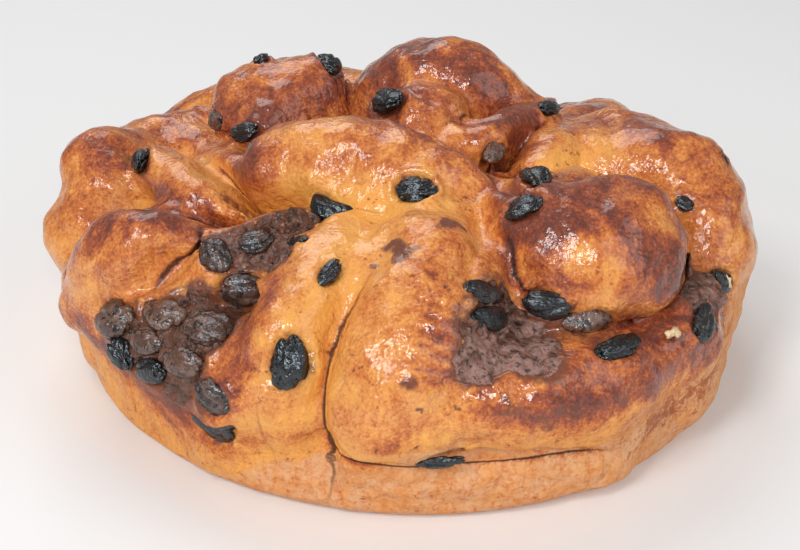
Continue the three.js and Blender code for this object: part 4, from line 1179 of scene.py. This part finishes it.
class BREAD_OT_raisins(bpy.types.Operator):
    """Builds every raisin as a wrinkled, folded skin in the place of its solid"""

    bl_idname = "bread.raisins"
    bl_label = "Raisins"

    def execute(self, context):
        nodes = raisin_nodes()
        if not nodes:
            raise RuntimeError("the frame has no raisins")
        points, tints = [], []
        draw = np.random.default_rng(RAISIN_SEED)
        for seed, node in enumerate(nodes):
            glazed = GLAZED_RAISINS.get(node.name, 0.0)
            points.append(self.wrinkled(node, seed, 1.0 - GLAZED_FILL * glazed))
            tints.append(max(glazed, draw.uniform(0.0, RAISIN_PLAIN_TINT)))
        finish = raisin_finish(context.scene.bread_colours)
        grid = (RAISIN_ROWS, RAISIN_COLUMNS)
        add_group("raisins", points, grid, tints, finish, [node.name for node in nodes])
        return {"FINISHED"}

    @staticmethod
    def wrinkled(node, seed, dry):
        """A bent ellipsoid whose radius falls in narrow valleys where two wave fields cross zero."""
        middle, axes, half, bend = raisin_box(node)
        unit = ball_rays(RAISIN_ROWS, RAISIN_COLUMNS)
        valleys = 0.0
        for stretch, length, width, depth, first in RAISIN_VALLEYS:
            field = waves(unit * (stretch, 1.0, 1.0), length, first + seed)
            valleys = valleys + depth * np.exp(-((field / width) ** 2))
        radius = RAISIN_SWELL - dry * valleys + layered(unit, RAISIN_LUMPS, seed)
        local = unit * radius[:, None] * half
        local[:, 1] += bend * (unit[:, 0] ** 2 - BEND_LEVEL)
        return middle + local @ axes


class BREAD_OT_crumbs(bpy.types.Operator):
    """Builds the crumbs that stick to the crust"""

    bl_idname = "bread.crumbs"
    bl_label = "Crumbs"

    def execute(self, context):
        dough = dough_sizes(context.scene.bread_shape)
        draw = np.random.default_rng(CRUMB_SEED)
        loose = []
        for bearing, climb, half_width, half_height, *_rest in FILLINGS.values():
            for _ in range(CRUMB_COUNT // len(FILLINGS)):
                east, north = draw.normal(0.0, CRUMB_SPREAD, 2) * (half_width, half_height * CLIMB_A_MM)
                width = draw.uniform(*CRUMB_WIDTHS)
                length = width * draw.uniform(*CRUMB_LENGTHS)
                loose.append((bearing + east * BEARING_A_MM, climb + north, length, width, 1.0))
        rows = [(*row, 0.0) for row in PALE_CRUMBS] + loose
        points = [self.chip(row, seed, dough) for seed, row in enumerate(rows)]
        tints = [row[4] * draw.uniform(*CRUMB_TINTS) for row in rows]
        finish = crumb_finish(context.scene.bread_colours)
        add_group("crumbs", points, (CRUMB_ROWS, CRUMB_COLUMNS), tints, finish, [])
        return {"FINISHED"}

    @staticmethod
    def chip(row, seed, dough):
        """A small ellipsoid with an uneven radius, laid along the skin at a turn of its own."""
        bearing, climb, length, width, _tint = row
        ray = ray_at(np.array([bearing]), np.array([climb]))
        middle = on_ray(ray, skin_at([bearing], [climb], dough) + CRUMB_LIFT * width, dough)[0]
        unit = ball_rays(CRUMB_ROWS, CRUMB_COLUMNS)
        radius = CRUMB_ROUND + layered(unit, CRUMB_LUMPS, seed)
        local = unit * radius[:, None] * (length / 2.0, width / 2.0, width * CRUMB_FLAT)
        level = np.cross(ray[0], (0.0, 0.0, 1.0))
        level = -level / np.linalg.norm(level)
        rising = np.cross(ray[0], level)
        cos, sin = math.cos(CRUMB_TURN * seed), math.sin(CRUMB_TURN * seed)
        return middle + local @ np.stack([level * cos + rising * sin, rising * cos - level * sin, ray[0]])


class BREAD_OT_stage(bpy.types.Operator):
    """Sets the pale floor, the soft lights and the camera"""

    bl_idname = "bread.stage"
    bl_label = "Stage"

    def execute(self, context):
        scene = context.scene
        stage = scene.bread_stage
        self.floor(scene, stage.floor_size / 2.0)
        for name, (place, side) in LIGHTS.items():
            self.light(scene, name, place, side, getattr(stage, name + "_power"))
        world = bpy.data.worlds.new("soft sky")
        world.use_nodes = True
        sky = world.node_tree.nodes["Background"]
        sky.inputs["Color"].default_value = WHITE
        sky.inputs["Strength"].default_value = stage.sky
        scene.world = world
        scene.view_settings.view_transform = "Standard"
        camera = bpy.data.objects.new("camera", bpy.data.cameras.new("camera"))
        camera.data.sensor_fit = "HORIZONTAL"
        camera.data.lens = stage.focal * camera.data.sensor_width / IMAGE_WIDTH
        back = (0.0, -math.cos(stage.elevation), math.sin(stage.elevation))
        camera.location = [t + stage.distance * b for t, b in zip(stage.target, back)]
        camera.rotation_euler = (math.pi / 2.0 - stage.elevation, 0.0, 0.0)
        scene.collection.objects.link(camera)
        scene.camera = camera
        return {"FINISHED"}

    @staticmethod
    def floor(scene, half):
        """A square at the loaf's base."""
        mesh = bpy.data.meshes.new("floor")
        corners = [(-half, -half, 0.0), (half, -half, 0.0), (half, half, 0.0), (-half, half, 0.0)]
        mesh.from_pydata(corners, [], [(0, 1, 2, 3)])
        finish = Finish("studio floor")
        rough = finish.step(finish.noise(6.0), 0.0, 1.0, 0.75, 0.85)
        colour = rgba(scene.bread_colours.floor)
        mesh.materials.append(finish.done({"Base Color": colour, "Roughness": rough}))
        floor = bpy.data.objects.new("floor", mesh)
        scene.collection.objects.link(floor)

    @staticmethod
    def light(scene, name, place, side, power):
        """A square light aimed at the loaf's middle."""
        lamp = bpy.data.lights.new(name, "AREA")
        lamp.size = side
        lamp.energy = power
        holder = bpy.data.objects.new(name, lamp)
        holder.location = place
        x, y, z = place
        down = math.atan2(math.hypot(x, y), z - LIGHT_AIM)
        holder.rotation_euler = (down, 0.0, math.atan2(y, x) + math.pi / 2.0)
        scene.collection.objects.link(holder)


class BREAD_PT_panel(bpy.types.Panel):
    """Lists the settings and the steps of the bread"""

    bl_idname = "BREAD_PT_panel"
    bl_label = "Plaited Raisin Bread"
    bl_space_type = "VIEW_3D"
    bl_region_type = "UI"
    bl_category = "Bread"

    def draw(self, context):
        for group in (context.scene.bread_shape, context.scene.bread_colours, context.scene.bread_stage):
            box = self.layout.box()
            for label in group.__annotations__:
                box.prop(group, label)
        for operator in OPERATORS:
            self.layout.operator(operator.bl_idname)


OPERATORS = (BREAD_OT_crust, BREAD_OT_filling, BREAD_OT_raisins, BREAD_OT_crumbs, BREAD_OT_stage)
GROUPS = {"bread_shape": BreadShape, "bread_colours": BreadColours, "bread_stage": BreadStage}


def register():
    for kind in (*GROUPS.values(), *OPERATORS, BREAD_PT_panel):
        bpy.utils.register_class(kind)
    for label, kind in GROUPS.items():
        setattr(bpy.types.Scene, label, bpy.props.PointerProperty(type=kind))


def unregister():
    for label in GROUPS:
        delattr(bpy.types.Scene, label)
    for kind in (BREAD_PT_panel, *reversed(OPERATORS), *reversed(GROUPS.values())):
        bpy.utils.unregister_class(kind)


def main():
    """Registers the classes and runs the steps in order."""
    register()
    bpy.ops.bread.crust()
    bpy.ops.bread.filling()
    bpy.ops.bread.raisins()
    bpy.ops.bread.crumbs()
    bpy.ops.bread.stage()


if __name__ == "__main__":
    main()
